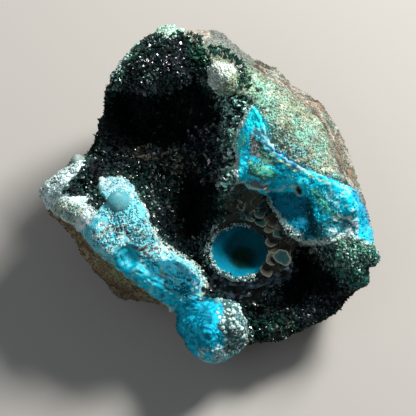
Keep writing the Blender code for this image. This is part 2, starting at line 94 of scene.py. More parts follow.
# Heights of the face inside that line (u, v, z), form by form.
FACE = {
    "crest": [(-12.7, 54, 46), (-8.3, 50, 48), (-4, 52.3, 44), (2.3, 51, 42), (10.7, 47, 37)],
    "dome": [(-19.3, 50, 49), (-16, 44.3, 53), (-22.7, 41.7, 51), (-29.3, 38.3, 46), (-32.7, 33.3, 41),
        (-19.3, 36.3, 47), (-11, 40, 48)],
    "cleft": [(-5, 41, 42), (-6, 34.3, 34), (0, 44.3, 47)],
    "pale lump": [(4.7, 39.7, 52), (9, 42.3, 46), (2, 34.3, 42), (10, 37, 46), (11.7, 33, 46)],
    "upper hollow": [(-27.5, 29.7, 25), (-28.5, 21.7, 24), (-24.3, 26, 21), (-16, 28, 20), (-7.7, 28, 21),
        (-0.7, 26.3, 25), (-26, 18.3, 20), (-14.3, 18.3, 18), (-4.3, 20, 20), (5.7, 28.3, 36)],
    "step between the hollows": [(-22.7, 14, 22), (-14.3, 14.3, 23), (-7, 12.3, 21)],
    "left slope": [(-34, 16.7, 31), (-31, 11.7, 26), (-38.7, 10, 33), (-26, 6.7, 22), (-17.7, 5, 19),
        (-41, 3.3, 33), (-34.3, 2.3, 33), (-21, 0, 25)],
    "middle pit": [(-3.7, -3.3, 8), (-6, 5, 12), (-0.3, -11, 11), (-10, -3.3, 13), (-12, -10, 15),
        (-4.3, -15, 15), (-3.3, -22.3, 18), (-7.7, -18.3, 16), (-14.3, -15, 17), (-16, -9, 19)],
    "right wall of the pit": [(-1.7, 15, 23), (3.3, 20, 31), (1.7, 10, 24), (6, 15, 34), (5.3, 3.3, 27),
        (3.3, -3.3, 20)],
    "pale dome": [(12.7, 25.7, 45), (10, 18.3, 43), (10, 10, 41), (9.3, 4, 39), (18, 36.3, 45),
        (25.7, 31.7, 44), (20.7, 25.7, 50), (30.7, 21.7, 47), (38, 20, 38), (25.7, 15, 47), (37.3, 11.7, 43),
        (43.3, 10, 35)],
    "ledge": [(16.7, 15, 45), (21.3, 11.7, 45), (30.7, 7, 43), (44, 3, 40), (18, 3.7, 41), (29.3, 2.3, 40),
        (40.7, 1, 40), (47.3, -1.7, 38), (38, -5.7, 36), (45.7, -8.3, 33)],
    "recess under the ledge": [(20, -0.3, 31), (27.3, -3.7, 31), (32.3, -5, 33), (25.7, -9, 29),
        (29.3, -13.7, 29), (38, -15.3, 30), (44.7, -13, 31)],
    "grey crust": [(10.7, 0.3, 30), (13.3, -4, 29), (7, -9, 25), (20, -10.3, 28), (10.7, -7.7, 27),
        (26.7, -15, 27), (26.7, -22.3, 25), (22.7, -18.3, 25)],
    "around the cup": [(-0.7, -18.3, 22), (2, -27, 21), (10.7, -28.3, 22), (20, -27, 23)],
    "right shoulder": [(51.7, -6.7, 30), (52.7, -13.7, 28), (50, -20, 30), (45.7, -22.3, 27),
        (39, -19.7, 24), (34.7, -17.7, 20), (54.7, -21, 28), (52.3, -26.7, 24)],
    "lower hollow": [(31.3, -22.3, 9), (38, -27, 8), (44, -29.7, 15), (27.3, -31, 10), (30.7, -36.7, 9),
        (20.7, -37, 12), (40.7, -34.3, 12), (22.3, -33.7, 13)],
    "lower edge": [(47.3, -31, 18), (36.7, -39.7, 13), (29, -43, 13), (20, -45.3, 13), (14, -46.7, 13),
        (18, -32.3, 18), (9, -33.7, 18), (2.3, -31.7, 20)],
    "left crust": [(-54, 0.3, 33), (-49.3, 5.7, 37), (-44.3, 10, 36), (-48.7, -1, 34), (-42.7, -3.3, 34),
        (-49.3, -5, 33), (-39.3, -9, 37), (-30, -6.3, 38), (-30, -0.3, 38), (-24, -3.3, 36),
        (-34.7, -14.3, 37), (-26, -12.3, 37), (-20.7, -11, 35), (-18.7, -18.3, 33), (-26, -21, 32),
        (-12.7, -22.3, 28), (-6.7, -24.3, 26), (-19.3, -25.7, 31), (-11, -29.3, 28), (-4, -29.7, 25),
        (-2, -26.3, 21)],
    "edge over the left wall": [(-50, -6, 30), (-44, -9, 32), (-40, -14.3, 32), (-36, -19.3, 32),
        (-32, -22.3, 31), (-26.7, -25.7, 30), (-22, -30.3, 27), (-17.3, -33.7, 24), (-13.3, -36, 21)],
    "tongue": [(-6.7, -33.7, 24), (-2.7, -36.3, 22), (-6.7, -39, 20), (-1, -42.3, 24), (-2, -48.3, 22),
        (1.3, -53.7, 15), (4.7, -50, 18), (8, -41, 23), (11.7, -45, 20), (10, -50, 15), (6.7, -36, 20)],
}

# Closed lines on the picture, in pixels, round the regions that are pieces or growths of their own.
CRYSTAL_REGION = [
    (62, 197), (64, 188), (77, 170), (85, 157), (87, 143), (94, 128), (98, 112), (101, 89), (113, 68),
    (123, 57), (131, 47), (142, 37), (154, 33), (164, 38), (178, 30), (186, 36), (192, 46), (208, 54),
    (212, 62), (207, 76), (214, 90), (226, 97), (243, 92), (249, 104), (244, 120), (236, 130), (233, 144),
    (236, 158), (233, 168), (237, 178), (228, 192), (226, 207), (232, 214), (215, 226), (206, 246),
    (213, 270), (236, 280), (266, 280), (284, 268), (291, 246), (312, 247), (330, 264), (352, 262),
    (372, 250), (380, 256), (375, 271), (372, 287), (354, 299), (342, 312), (330, 323), (316, 331),
    (299, 340), (275, 346), (252, 350), (246, 330), (240, 312), (228, 303), (205, 300), (200, 286),
    (197, 269), (179, 257), (162, 248), (153, 234), (149, 220), (147, 210), (142, 203), (136, 197),
    (133, 187), (127, 180), (118, 176), (104, 181), (99, 194), (108, 203), (97, 212), (90, 210), (86, 198),
]
CRUST_REGION = [
    (42, 194), (54, 184), (69, 172), (81, 159), (84, 163), (77, 175), (65, 187), (62, 195), (86, 196),
    (90, 210), (97, 212), (108, 203), (99, 194), (104, 180), (114, 178), (127, 181), (133, 188), (136, 197),
    (142, 204), (147, 211), (149, 220), (153, 234), (162, 248), (179, 257), (197, 269), (202, 284),
    (200, 298), (222, 298), (236, 301), (242, 311), (249, 332), (244, 347), (236, 354), (224, 361),
    (215, 364), (202, 361), (192, 353), (184, 343), (178, 330), (176, 314), (168, 306), (156, 298),
    (141, 288), (127, 274), (111, 264), (99, 254), (87, 239), (75, 224), (58, 213), (46, 206),
]
LEDGE_REGION = [
    (250, 104), (263, 118), (270, 141), (276, 152), (303, 168), (328, 178), (350, 188), (358, 199),
    (366, 219), (371, 242), (368, 246), (358, 236), (341, 235), (322, 240), (298, 237), (285, 226),
    (273, 211), (266, 196), (250, 187), (238, 181), (237, 170), (239, 159), (236, 145), (240, 131),
    (247, 120),
]


def linear(colour):
    """A colour of 0 to 255 as seen, as the renderer's linear numbers."""
    share = np.asarray(colour, float) / 255
    return np.where(share < 0.04045, share / 12.92, ((share + 0.055) / 1.055) ** 2.4)


def smooth(value, low, high):
    """0 below low, 1 above high, and eased between them."""
    share = np.clip((value - low) / (high - low), 0, 1)
    return share * share * (3 - 2 * share)


def lattice(corners, seed):
    """A repeatable number from 0 to 1 for each whole-number corner of a lattice."""
    x, y, z = (corners[:, axis].astype(np.int64) for axis in range(3))
    mixed = (x * 73856093) ^ (y * 19349663) ^ (z * 83492791) ^ (seed * 2654435761)
    mixed = (mixed ^ (mixed >> 13)) * 1274126177
    mixed = mixed ^ (mixed >> 16)
    return (mixed & 0xFFFFFF) / 0xFFFFFF


def noise(points, size, seed=0):
    """Smooth noise from -1 to 1 with features about size across."""
    scaled = points / size
    base = np.floor(scaled)
    part = scaled - base
    ease = part**3 * (part * (part * 6 - 15) + 10)
    total = np.zeros(len(points))
    for corner in np.ndindex(2, 2, 2):
        weight = np.where(np.array(corner), ease, 1 - ease).prod(axis=1)
        total += weight * lattice(base + np.array(corner), seed)
    return total * 2 - 1


def fractal(points, size, seed=0, octaves=3):
    """Noise with finer and weaker noise added to it."""
    return sum(noise(points, size / 2**k, seed + k) / 2**k for k in range(octaves))


def cells(points, size, seed):
    """Distances to the nearest two of scattered seeds, in sizes, and the nearest one's own number."""
    scaled = points / size
    base = np.floor(scaled)
    nearest, second = np.full((2, len(points)), 9.0)
    number = np.zeros(len(points))
    for offset in np.ndindex(3, 3, 3):
        cell = base + np.array(offset) - 1
        seeds = cell + np.column_stack([lattice(cell, seed + k) for k in (11, 12, 13)])
        apart = np.linalg.norm(scaled - seeds, axis=1)
        closer = apart < nearest
        second = np.where(closer, nearest, np.minimum(second, apart))
        number[closer] = lattice(cell[closer], seed + 14)
        nearest[closer] = apart[closer]
    return nearest, second, number


def stand(seen):
    """Points given by what is seen (u, v) and their height, as x, y, z."""
    u, v, z = np.asarray(seen, float).T
    return np.column_stack([u, (v - z * math.cos(SIGHT)) / math.sin(SIGHT), z])


def pixels(points):
    """Where points show in the picture."""
    v = points[:, 1] * math.sin(SIGHT) + points[:, 2] * math.cos(SIGHT)
    return np.column_stack([points[:, 0], -v]) / PIXEL + PICTURE_ORIGIN


def away_from(places, line, closed=True):
    """Distance from each place to a line of points."""
    line = np.asarray(line, float)
    starts = line if closed else line[:-1]
    ends = np.roll(line, -1, axis=0) if closed else line[1:]
    nearest = np.full(len(places), 1e9)
    for start, end in zip(starts, ends, strict=True):
        along = end - start
        share = np.clip((places - start) @ along / (along @ along), 0, 1)
        gap = places - start - share[:, None] * along
        nearest = np.minimum(nearest, (gap**2).sum(axis=1))
    return np.sqrt(nearest)


def inside_by(places, line):
    """How far inside a closed line each place is, negative outside it."""
    line = np.asarray(line, float)
    inside = np.zeros(len(places), bool)
    x, y = places.T
    for (x0, y0), (x1, y1) in zip(line, np.roll(line, -1, axis=0), strict=True):
        if y0 == y1:
            continue
        crosses = (y0 > y) != (y1 > y)
        inside ^= crosses & (x < (x1 - x0) * (y - y0) / (y1 - y0) + x0)
    return np.where(inside, 1, -1) * away_from(places, line)


class Relief:
    """A height over x and y that passes smoothly through every landmark."""

    ROUNDING = 3.0
    STEPS = 40

    def __init__(self, points):
        self.centres = points[:, :2]
        around = np.column_stack([np.ones(len(points)), self.centres])
        system = np.block([[self.spread(self.centres), around], [around.T, np.zeros((3, 3))]])
        self.weights = np.linalg.solve(system, np.concatenate([points[:, 2], np.zeros(3)]))

    def spread(self, places):
        """How strongly each landmark acts on each place."""
        apart = places[:, None, :] - self.centres[None, :, :]
        return np.sqrt((apart**2).sum(axis=2) + self.ROUNDING**2)

    def height(self, places):
        plane = np.column_stack([np.ones(len(places)), places])
        return np.column_stack([self.spread(places), plane]) @ self.weights

    def under(self, pixel):
        """The point of the relief that shows at a pixel."""
        u, v = (np.array(pixel, float) - PICTURE_ORIGIN) * PIXEL * (1, -1)
        place = np.array([[u, v]])
        for _ in range(self.STEPS):
            lowered = (v - self.height(place)[0] * math.cos(SIGHT)) / math.sin(SIGHT)
            place[0, 1] += 0.5 * (lowered - place[0, 1])
        return np.array([*place[0], self.height(place)[0]])


girth = stand(GIRTH)
relief = Relief(np.vstack([girth] + [stand(points) for points in FACE.values()]))
centre = girth[:, :2].mean(axis=0)


def girth_at(angle):
    """Radius about the centre and height of the widest line in a direction."""
    arms = girth[:, :2] - centre
    angles = np.arctan2(arms[:, 1], arms[:, 0])
    order = np.argsort(angles)
    radius = np.interp(angle, angles[order], np.hypot(*arms[order].T), period=math.tau)
    height = np.interp(angle, angles[order], girth[order, 2], period=math.tau)
    return radius, height


# Meshes

def mesh_from(name, points, faces):
    """A mesh from points in millimetres and an array of faces with equal numbers of corners."""
    made = bpy.data.meshes.new(name)
    made.vertices.add(len(points))
    made.vertices.foreach_set("co", ((points + FACE_SHIFT) * MM).astype(np.float32).ravel())
    made.loops.add(faces.size)
    made.loops.foreach_set("vertex_index", faces.astype(np.int32).ravel())
    made.polygons.add(len(faces))
    made.polygons.foreach_set("loop_start", np.arange(0, faces.size, faces.shape[1], dtype=np.int32))
    made.update(calc_edges=True)
    made.validate()
    return made


def ball_of(subdivisions):
    """Points and triangles of a ball with a radius of one."""
    bm = bmesh.new()
    bmesh.ops.create_icosphere(bm, subdivisions=subdivisions, radius=1)
    points = np.array([vert.co for vert in bm.verts])
    faces = np.array([[vert.index for vert in face.verts] for face in bm.faces])
    bm.free()
    return points, faces


def arrays_of(mesh):
    """Points in millimetres, normals and four-cornered faces of a mesh."""
    points = np.empty(len(mesh.vertices) * 3, np.float32)
    mesh.vertices.foreach_get("co", points)
    normals = np.empty(len(mesh.vertices) * 3, np.float32)
    mesh.vertex_normals.foreach_get("vector", normals)
    corners = np.empty(len(mesh.loops), np.int32)
    mesh.loops.foreach_get("vertex_index", corners)
    points = points.reshape(-1, 3).astype(float) / MM - FACE_SHIFT
    return points, normals.reshape(-1, 3).astype(float), corners.reshape(len(mesh.polygons), -1)


def remeshed(name, points, faces, voxel, smoothing=2):
    """An even mesh of small squares over a closed shape."""
    item = bpy.data.objects.new(name, mesh_from(name, points, faces))
    bpy.context.scene.collection.objects.link(item)
    even = item.modifiers.new("Even", "REMESH")
    even.mode = "VOXEL"
    even.voxel_size = voxel * MM
    if smoothing:
        eased = item.modifiers.new("Eased", "SMOOTH")
        eased.factor = 0.5
        eased.iterations = smoothing
    graph = bpy.context.evaluated_depsgraph_get()
    mesh = bpy.data.meshes.new_from_object(item.evaluated_get(graph))
    bpy.data.objects.remove(item)
    result = arrays_of(mesh)
    bpy.data.meshes.remove(mesh)
    return result


def piece(name, points, faces, colours, material, replaces=(), smooth_shaded=True):
    """A finished piece of the specimen, riding on its one body."""
    mesh = mesh_from(name, points, faces)
    painted = mesh.color_attributes.new("mineral", "FLOAT_COLOR", "POINT")
    with_alpha = np.column_stack([colours, np.ones(len(colours))]).astype(np.float32)
    painted.data.foreach_set("color", with_alpha.ravel())
    mesh.polygons.foreach_set("use_smooth", np.full(len(faces), smooth_shaded))
    mesh.materials.append(material)
    made = bpy.data.objects.new(name, mesh)
    bpy.context.scene.collection.objects.link(made)
    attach(made, "root")
    if replaces:
        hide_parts(*replaces)
    return made


# What lies on the face, with a few painted shadows and highlights among it, in the order it is laid: kind,
# colour, softness in millimetres, strength, pixels, and then the width or radius in pixels of a line or a
# spot, or the grain in millimetres of a mottled area.
WHITE = (214, 232, 226)
MARKS = {
    "grey-brown matrix at the top": ("area", (122, 130, 126), 0.8, 1, [(203, 28), (222, 30), (240, 46),
        (256, 60), (247, 70), (230, 62), (214, 54), (200, 46), (190, 30)]),
    "pinkish slope": ("area", (188, 178, 166), 0.5, 0.8, [(186, 28), (205, 29), (212, 38), (198, 42),
        (188, 36)]),
    "green speckle at the top": ("mottled", (84, 124, 96), 0.8, 0.7, [(196, 40), (230, 50), (256, 62),
        (250, 74), (226, 64), (200, 52)], 2.0),
    "dark growth among the pale rock": ("mottled", (28, 52, 42), 0.8, 0.95, [(226, 60), (242, 62), (258, 74),
        (262, 92), (274, 104), (262, 118), (250, 118), (238, 104), (226, 94)], 2.4),
    "mint rings among the pale rock": ("mottled", (176, 214, 186), 0.5, 0.8, [(236, 62), (262, 80),
        (276, 104), (260, 116), (244, 104), (226, 96), (228, 84)], 1.5),
    "grey speckle of the lower matrix": ("mottled", (112, 136, 130), 0.8, 0.8, [(276, 132), (300, 126),
        (330, 150), (340, 166), (350, 188), (326, 178), (302, 168), (278, 150)], 1.6),
    "turquoise speckle of the lower matrix": ("mottled", (104, 196, 200), 0.8, 0.8, [(262, 120), (280, 128),
        (316, 160), (346, 180), (350, 190), (326, 180), (302, 170), (274, 150)], 2.2),
    "bed of the grey growth": ("area", (56, 56, 48), 0.6, 1, [(226, 186), (250, 182), (278, 198), (298, 232),
        (300, 250), (290, 270), (262, 284), (226, 284), (204, 270), (200, 240), (214, 222), (226, 212)]),
    "crystal bed": ("area", (10, 16, 14), 0.4, 1, CRYSTAL_REGION),
    "mint crust at the top": ("area", (176, 214, 200), 0.5, 0.9, [(157, 30), (170, 25), (184, 28), (185, 33),
        (176, 38), (164, 37), (156, 35)]),
    "mint rim": ("line", (140, 196, 176), 0.4, 0.8, [(128, 58), (135, 49), (142, 44)], 4),
    "pale lump": ("area", (240, 248, 242), 0.4, 1, [(209, 66), (219, 62), (232, 66), (236, 73), (228, 80),
        (222, 88), (213, 90), (208, 80)]),
    "olive of the pale lump": ("area", (186, 198, 166), 0.5, 0.5, [(226, 74), (237, 72), (240, 80),
        (232, 90), (220, 92), (218, 84)]),
    "dark pits of the pale lump": ("mottled", (70, 96, 80), 0.5, 0.5, [(209, 66), (232, 66), (240, 80),
        (224, 92), (210, 88)], 1.1),
    "green knob": ("spot", (48, 96, 68), 0.5, 0.8, [(243, 80)], 8),
    "left crust": ("area", (112, 210, 222), 0.5, 1, CRUST_REGION),
    "white left rim": ("area", (230, 248, 250), 0.6, 0.95, [(38, 194), (55, 180), (83, 156), (86, 166),
        (66, 188), (62, 196), (88, 194), (98, 212), (92, 226), (82, 232), (60, 218), (40, 208)]),
    "dark pits of the white rim": ("mottled", (84, 90, 70), 0.5, 0.6, [(44, 196), (54, 190), (62, 200),
        (84, 206), (96, 216), (96, 226), (76, 222), (58, 210)], 1.0),
    "olive of the left rim": ("area", (148, 156, 120), 0.7, 0.6, [(56, 204), (66, 200), (80, 206), (84, 216),
        (70, 220), (58, 212)]),
    "white of the left crust": ("mottled", (220, 242, 242), 0.8, 0.8, [(84, 216), (112, 212), (150, 218),
        (160, 246), (176, 258), (150, 262), (118, 258), (96, 244)], 1.6),
    "cyan of the left crust": ("mottled", (24, 178, 202), 0.8, 0.85, [(84, 222), (112, 212), (150, 218),
        (160, 246), (150, 262), (118, 258), (96, 244)], 2.2),
    "brown specks of the left crust": ("mottled", (92, 70, 50), 0.4, 1.0, [(88, 226), (116, 216), (148, 214),
        (158, 240), (166, 254), (150, 258), (118, 254), (98, 246)], 0.9),
    "dish": ("area", (34, 190, 216), 0.7, 1, [(112, 262), (118, 250), (128, 245), (140, 250), (142, 262),
        (128, 268)]),
    "bright strip": ("area", (0, 200, 232), 0.8, 1, [(108, 260), (118, 258), (136, 262), (150, 272),
        (166, 284), (178, 296), (176, 308), (160, 300), (140, 286), (124, 272)]),
    "pale crumbs of the strip": ("mottled", (128, 222, 234), 0.5, 0.75, [(100, 250), (118, 252), (140, 264),
        (170, 288), (176, 304), (160, 300), (140, 286), (118, 268)], 1.1),
    "dark folds of the strip": ("mottled", (0, 132, 162), 0.5, 0.75, [(108, 256), (126, 258), (150, 272),
        (176, 296), (176, 308), (158, 300), (136, 284), (120, 268)], 1.7),
    "olive crumbs of the strip": ("mottled", (112, 116, 80), 0.4, 0.8, [(84, 236), (100, 250), (116, 262),
        (130, 276), (150, 292), (144, 296), (124, 280), (104, 262), (88, 246)], 0.9),
    "deep blue": ("area", (0, 108, 132), 0.8, 1, [(138, 250), (152, 260), (176, 262), (198, 276), (200, 292),
        (186, 296), (168, 288), (150, 272)]),
    "dark of the deep blue": ("mottled", (10, 62, 74), 0.6, 0.8, [(138, 250), (176, 262), (198, 276),
        (196, 294), (168, 288), (150, 272)], 2.0),
    "olive of the deep blue": ("mottled", (70, 84, 60), 0.7, 0.7, [(158, 268), (174, 268), (182, 280),
        (176, 292), (163, 284)], 0.9),
    "white of the right margin": ("mottled", (196, 224, 224), 0.5, 0.6, [(166, 252), (178, 256), (202, 272),
        (204, 296), (194, 296), (188, 272)], 0.8),
    "white boundary": ("line", WHITE, 0.4, 0.7, [(136, 197), (142, 204), (147, 211), (149, 220), (153, 234),
        (162, 248), (179, 257), (197, 269)], 3),
    "pale lump over the ball": ("area", (158, 204, 214), 0.5, 0.95, [(98, 192), (104, 178), (126, 178),
        (136, 188), (138, 200), (130, 200), (124, 192), (110, 194)]),
    "tongue": ("area", (4, 190, 226), 0.6, 1, [(176, 298), (200, 296), (222, 301), (226, 322), (226, 340),
        (216, 362), (200, 360), (184, 342), (178, 328), (176, 312)]),
    "ripples of the tongue": ("mottled", (34, 194, 220), 0.6, 0.6, [(180, 300), (222, 302), (224, 340),
        (212, 360), (192, 350), (180, 328)], 1.4),
    "dark folds of the tongue": ("mottled", (0, 108, 138), 0.6, 0.7, [(176, 300), (206, 302), (216, 340),
        (204, 360), (184, 342), (176, 328)], 2.4),
    "fine dark streaks of the tongue": ("mottled", (0, 104, 136), 0.5, 0.6, [(178, 298), (222, 300),
        (224, 340), (212, 362), (192, 352), (178, 330)], 1.0),
    "dark left edge of the tongue": ("line", (4, 96, 120), 0.8, 0.8, [(176, 312), (179, 330), (186, 344),
        (196, 355)], 6),
    # Painted shadow: a dark line along the notch over the tongue.
    "painted shadow in the notch of the tongue": ("line", (10, 44, 50), 0.3, 0.9, [(198, 300), (210, 302), (222, 299)], 4),
    "bed of the beads": ("area", (62, 92, 92), 0.5, 1, [(217, 299), (236, 300), (244, 312), (249, 332),
        (243, 347), (232, 353), (222, 346), (226, 336), (218, 326), (223, 314)]),
    "white tip": ("mottled", (210, 228, 220), 0.5, 1, [(200, 346), (226, 342), (228, 354), (214, 364),
        (200, 360)], 1.0),
    "ledge": ("area", (0, 208, 238), 0.4, 1, LEDGE_REGION),
    "pale streaks of the ledge": ("mottled", (74, 236, 248), 0.5, 0.7, [(244, 112), (266, 118), (276, 150),
        (330, 178), (352, 190), (360, 216), (300, 186), (240, 180), (236, 150)], 1.6),
    "deep streaks of the ledge": ("mottled", (0, 124, 158), 0.5, 0.75, [(244, 112), (266, 118), (276, 150),
        (330, 178), (352, 190), (366, 230), (300, 190), (240, 180)], 2.0),
    # The bright top of the ledge is partly the turquoise's own colour and partly a painted highlight.
    "bright top of the ledge": ("area", (30, 240, 255), 0.4, 1, [(250, 106), (256, 108), (261, 119),
        (271, 130), (262, 135), (247, 126), (246, 116)]),
    "pale blue below the top": ("area", (140, 214, 230), 0.6, 0.8, [(255, 128), (266, 132), (278, 152),
        (272, 152), (262, 142), (254, 136)]),
    "brown of the triangle": ("area", (124, 104, 92), 0.3, 0.9, [(251, 135), (259, 142), (260, 160),
        (250, 155)]),
    "green of the triangle": ("area", (72, 108, 88), 0.3, 0.95, [(258, 141), (266, 148), (272, 157),
        (277, 165), (268, 166), (258, 162)]),
    "dark specks of the triangle": ("mottled", (40, 62, 50), 0.3, 0.8, [(251, 135), (260, 142), (272, 157),
        (277, 166), (250, 160)], 0.8),
    "blue strip over the triangle": ("area", (0, 142, 190), 0.4, 0.9, [(270, 144), (284, 152), (304, 170),
        (300, 173), (286, 164), (274, 154)]),
    "shadow line": ("line", (16, 60, 96), 0.3, 0.8, [(290, 161), (298, 167), (305, 171)], 2),
    "green patch": ("area", (66, 156, 134), 0.4, 0.9, [(248, 162), (260, 164), (276, 171), (274, 180),
        (260, 179), (250, 171)]),
    "specks of the green patch": ("mottled", (130, 196, 160), 0.3, 0.7, [(248, 160), (276, 170), (274, 181),
        (250, 174)], 0.8),
    "brown gash of the green patch": ("line", (56, 50, 46), 0.3, 0.8, [(250, 170), (256, 175), (263, 177)],
        2),
    "grey strip under the patch": ("area", (104, 94, 90), 0.4, 0.9, [(244, 180), (256, 179), (268, 184),
        (266, 188), (252, 186)]),
    "mint by the druse": ("area", (92, 224, 208), 0.5, 0.9, [(236, 138), (246, 136), (247, 148), (240, 152),
        (235, 148)]),
    "cream ridge line": ("line", (196, 214, 150), 0.3, 0.85, [(271, 150), (276, 160), (288, 165), (301, 172),
        (326, 183), (350, 194)], 2),
    "dark gash": ("line", (20, 52, 60), 0.4, 0.9, [(327, 175), (338, 180), (350, 187)], 4),
    "recess": ("area", (0, 122, 152), 0.5, 1, [(264, 190), (286, 192), (306, 196), (312, 208), (312, 236),
        (298, 234), (282, 216), (272, 202)]),
    "folds of the recess": ("mottled", (0, 84, 106), 0.5, 0.8, [(264, 190), (306, 194), (314, 236),
        (298, 234), (272, 202)], 1.4),
    "shade of the recess": ("area", (0, 50, 64), 0.7, 0.95, [(305, 194), (311, 200), (318, 218), (324, 234),
        (316, 238), (309, 234), (308, 214)]),
    "bright ridge": ("area", (0, 200, 228), 0.5, 0.9, [(312, 186), (330, 184), (350, 194), (356, 206),
        (346, 212), (332, 212), (320, 200)]),
    "white of the bright ridge": ("mottled", (170, 226, 230), 0.4, 0.6, [(322, 186), (346, 192), (356, 206),
        (344, 214), (328, 206)], 1.3),
    "pale green of the ridge": ("area", (96, 196, 160), 0.4, 0.7, [(309, 188), (318, 190), (334, 210),
        (340, 218), (330, 220), (318, 206)]),
    "dark specks of the ridge": ("mottled", (6, 84, 92), 0.4, 0.9, [(306, 188), (318, 188), (340, 216),
        (330, 222), (316, 208)], 0.9),
    "teal foot of the right": ("area", (36, 108, 118), 0.6, 0.9, [(318, 222), (330, 220), (352, 212),
        (360, 232), (340, 240), (318, 240)]),
    "grey-white of the right": ("mottled", (186, 208, 210), 0.5, 0.9, [(328, 218), (342, 206), (356, 208),
        (360, 234), (340, 238), (326, 234)], 1.1),
    "white crust edge": ("line", WHITE, 0.4, 0.8, [(266, 198), (276, 210), (283, 221), (294, 233),
        (306, 240), (322, 242), (341, 236), (357, 238)], 4),
    "blue stripe": ("line", (0, 150, 188), 0.4, 0.95, [(353, 194), (361, 210), (366, 226), (371, 242)], 8),
    "pale foot of the blue stripe": ("line", (70, 206, 232), 0.5, 0.8, [(366, 228), (371, 243)], 6),
    "edge of the ledge": ("line", (196, 216, 196), 0.3, 0.85, [(238, 182), (250, 184), (262, 188),
        (274, 188), (286, 187), (296, 187)], 2.2),
    "pale ring of the hole": ("spot", (150, 180, 168), 0.3, 0.7, [(298, 190)], 5),
    # Painted shade: the hole is drawn near-black inside.
    "painted shade in the hole of the ledge": ("spot", (6, 20, 20), 0.25, 1, [(299, 190)], 3.6),
    "white edge by the druse": ("line", WHITE, 0.35, 0.9, [(251, 104), (245, 119), (237, 130), (235, 144),
        (238, 158), (235, 168), (238, 180)], 2.5),
    "mottled malachite": ("area", (46, 112, 100), 0.8, 1, [(312, 246), (334, 242), (352, 238), (370, 242),
        (378, 256), (370, 271), (366, 286), (350, 290), (334, 270), (322, 262)]),
    "grey-violet growth": ("area", (64, 68, 78), 0.6, 0.9, [(314, 246), (334, 244), (342, 254), (334, 264),
        (320, 262)]),
    "white chip": ("spot", (206, 220, 208), 0.3, 0.9, [(323, 250)], 4),
    "mint edge on the right": ("line", (150, 200, 186), 0.6, 0.7, [(372, 246), (378, 254), (374, 266)], 3),
}
GROWTH_MARKS = {
    "teal plate over the cup": ("area", (10, 80, 84), 0.3, 0.9, [(238, 212), (248, 207), (262, 211),
        (269, 219), (256, 222), (242, 221)]),
    "taupe plates by the cup": ("area", (84, 84, 76), 0.3, 0.9, [(260, 214), (272, 217), (282, 230),
        (281, 240), (292, 242), (295, 250), (284, 255), (274, 250), (269, 238)]),
    "teal plate by the cup": ("area", (8, 70, 70), 0.3, 0.85, [(266, 250), (277, 251), (281, 262),
        (272, 270), (264, 262)]),
    "taupe plate under the cup": ("area", (88, 84, 76), 0.3, 0.85, [(256, 266), (268, 262), (278, 270),
        (266, 278)]),
    "pale ring": ("ring", (156, 154, 144), 0.3, 0.8, [(242, 205)], 4.5),
    "dark middle of the ring": ("spot", (34, 38, 34), 0.3, 0.8, [(242, 205)], 2),
}
EDGE_RUN = 0.6  # how far the marks' edges wander
EDGE_CRUMB = 0.3  # how far they crumble
RING_WIDTH = 1.2  # pixels to either side


def over(colours, weight, colour):
    """Colours moved towards one colour, by a weight for each."""
    return colours + weight[:, None] * (linear(colour) - colours)


def laid(points, ground, layers):
    """A ground colour with layers laid over it, each a weight for every point and a colour."""
    colours = np.tile(linear(ground), (len(points), 1))
    for weight, colour in layers:
        colours = over(colours, weight, colour)
    return colours


def bedding(points):
    """Height in the rock's own layers, which dip and roll."""
    dip = points[:, 2] + 0.2 * points[:, 0] - 0.14 * points[:, 1]
    return dip + 4.5 * noise(points, 28, 31) + 1.4 * noise(points, 9, 38)


def strata_colour(points):
    """Brown layered rock, for the sides and underside."""
    depth = bedding(points)
    layer = noise(np.column_stack([points[:, :2] / 13, depth / 2.4]), 1, 32)
    thin = noise(np.column_stack([points[:, :2] / 7, depth / 0.7]), 1, 33)
    patch = fractal(points, 9, 34)
    grit = fractal(points, 1.6, 37)
    crack, _, _ = cells(points * (1, 1, 1.6) + 0.8 * noise(points, 4, 39)[:, None], 14, 40)
    return laid(points, (104, 88, 64), [
        (smooth(patch, 0.0, 0.8) * 0.7, (124, 118, 88)),
        (smooth(-patch, 0.1, 0.9) * 0.7, (106, 74, 48)),
        (smooth(layer, 0.05, 0.6) * 0.55, (142, 126, 98)),
        (smooth(-layer, 0.1, 0.6) * 0.55, (64, 52, 38)),
        (smooth(thin, 0.25, 0.8) * 0.25, (158, 134, 104)),
        (smooth(grit, 0.2, 0.8) * 0.5, (156, 144, 116)),
        (smooth(-grit, 0.25, 0.9) * 0.6, (52, 42, 32)),
        (smooth(crack, 0.62, 0.8) * 0.3, (46, 38, 28)),
        (smooth(fractal(points, 5, 36), 0.6, 1.1) * 0.6, (76, 112, 88)),
    ])


def matrix_colour(points, rim):
    """Pale weathered rock of the face, with mint blushes and broken layers near the rim."""
    wander = rim + 1.6 * noise(points, 12, 45) + 0.9 * noise(points, 4, 46) + 0.7 * noise(points, 1.4, 49)
    banded = smooth(wander, -8, -6) * (0.85 + 0.15 * noise(points, 3, 50))
    lengthwise = points[:, :2] / 6
    band = noise(np.column_stack([wander / 0.75, lengthwise]), 1, 47)
    rust = noise(np.column_stack([wander / 1.1, lengthwise]), 1, 48)
    return laid(points, (156, 168, 146), [
        (smooth(fractal(points, 9, 41), -0.1, 0.5) * 0.8, (122, 194, 178)),
        (smooth(fractal(points, 2.2, 42), 0.05, 0.6) * 0.7, (208, 220, 204)),
        (smooth(-fractal(points, 2.6, 43), 0.1, 0.7) * 0.7, (118, 114, 86)),
        (smooth(fractal(points, 1.3, 44), 0.35, 0.8) * 0.8, (58, 60, 46)),
        (banded * 0.95, (112, 110, 102)),
        (banded * smooth(band, 0.15, 0.5) * 0.9, (184, 184, 174)),
        (banded * smooth(-band, 0.15, 0.5), (70, 62, 58)),
        (banded * smooth(rust, 0.35, 0.7) * 0.6, (150, 112, 86)),
    ])


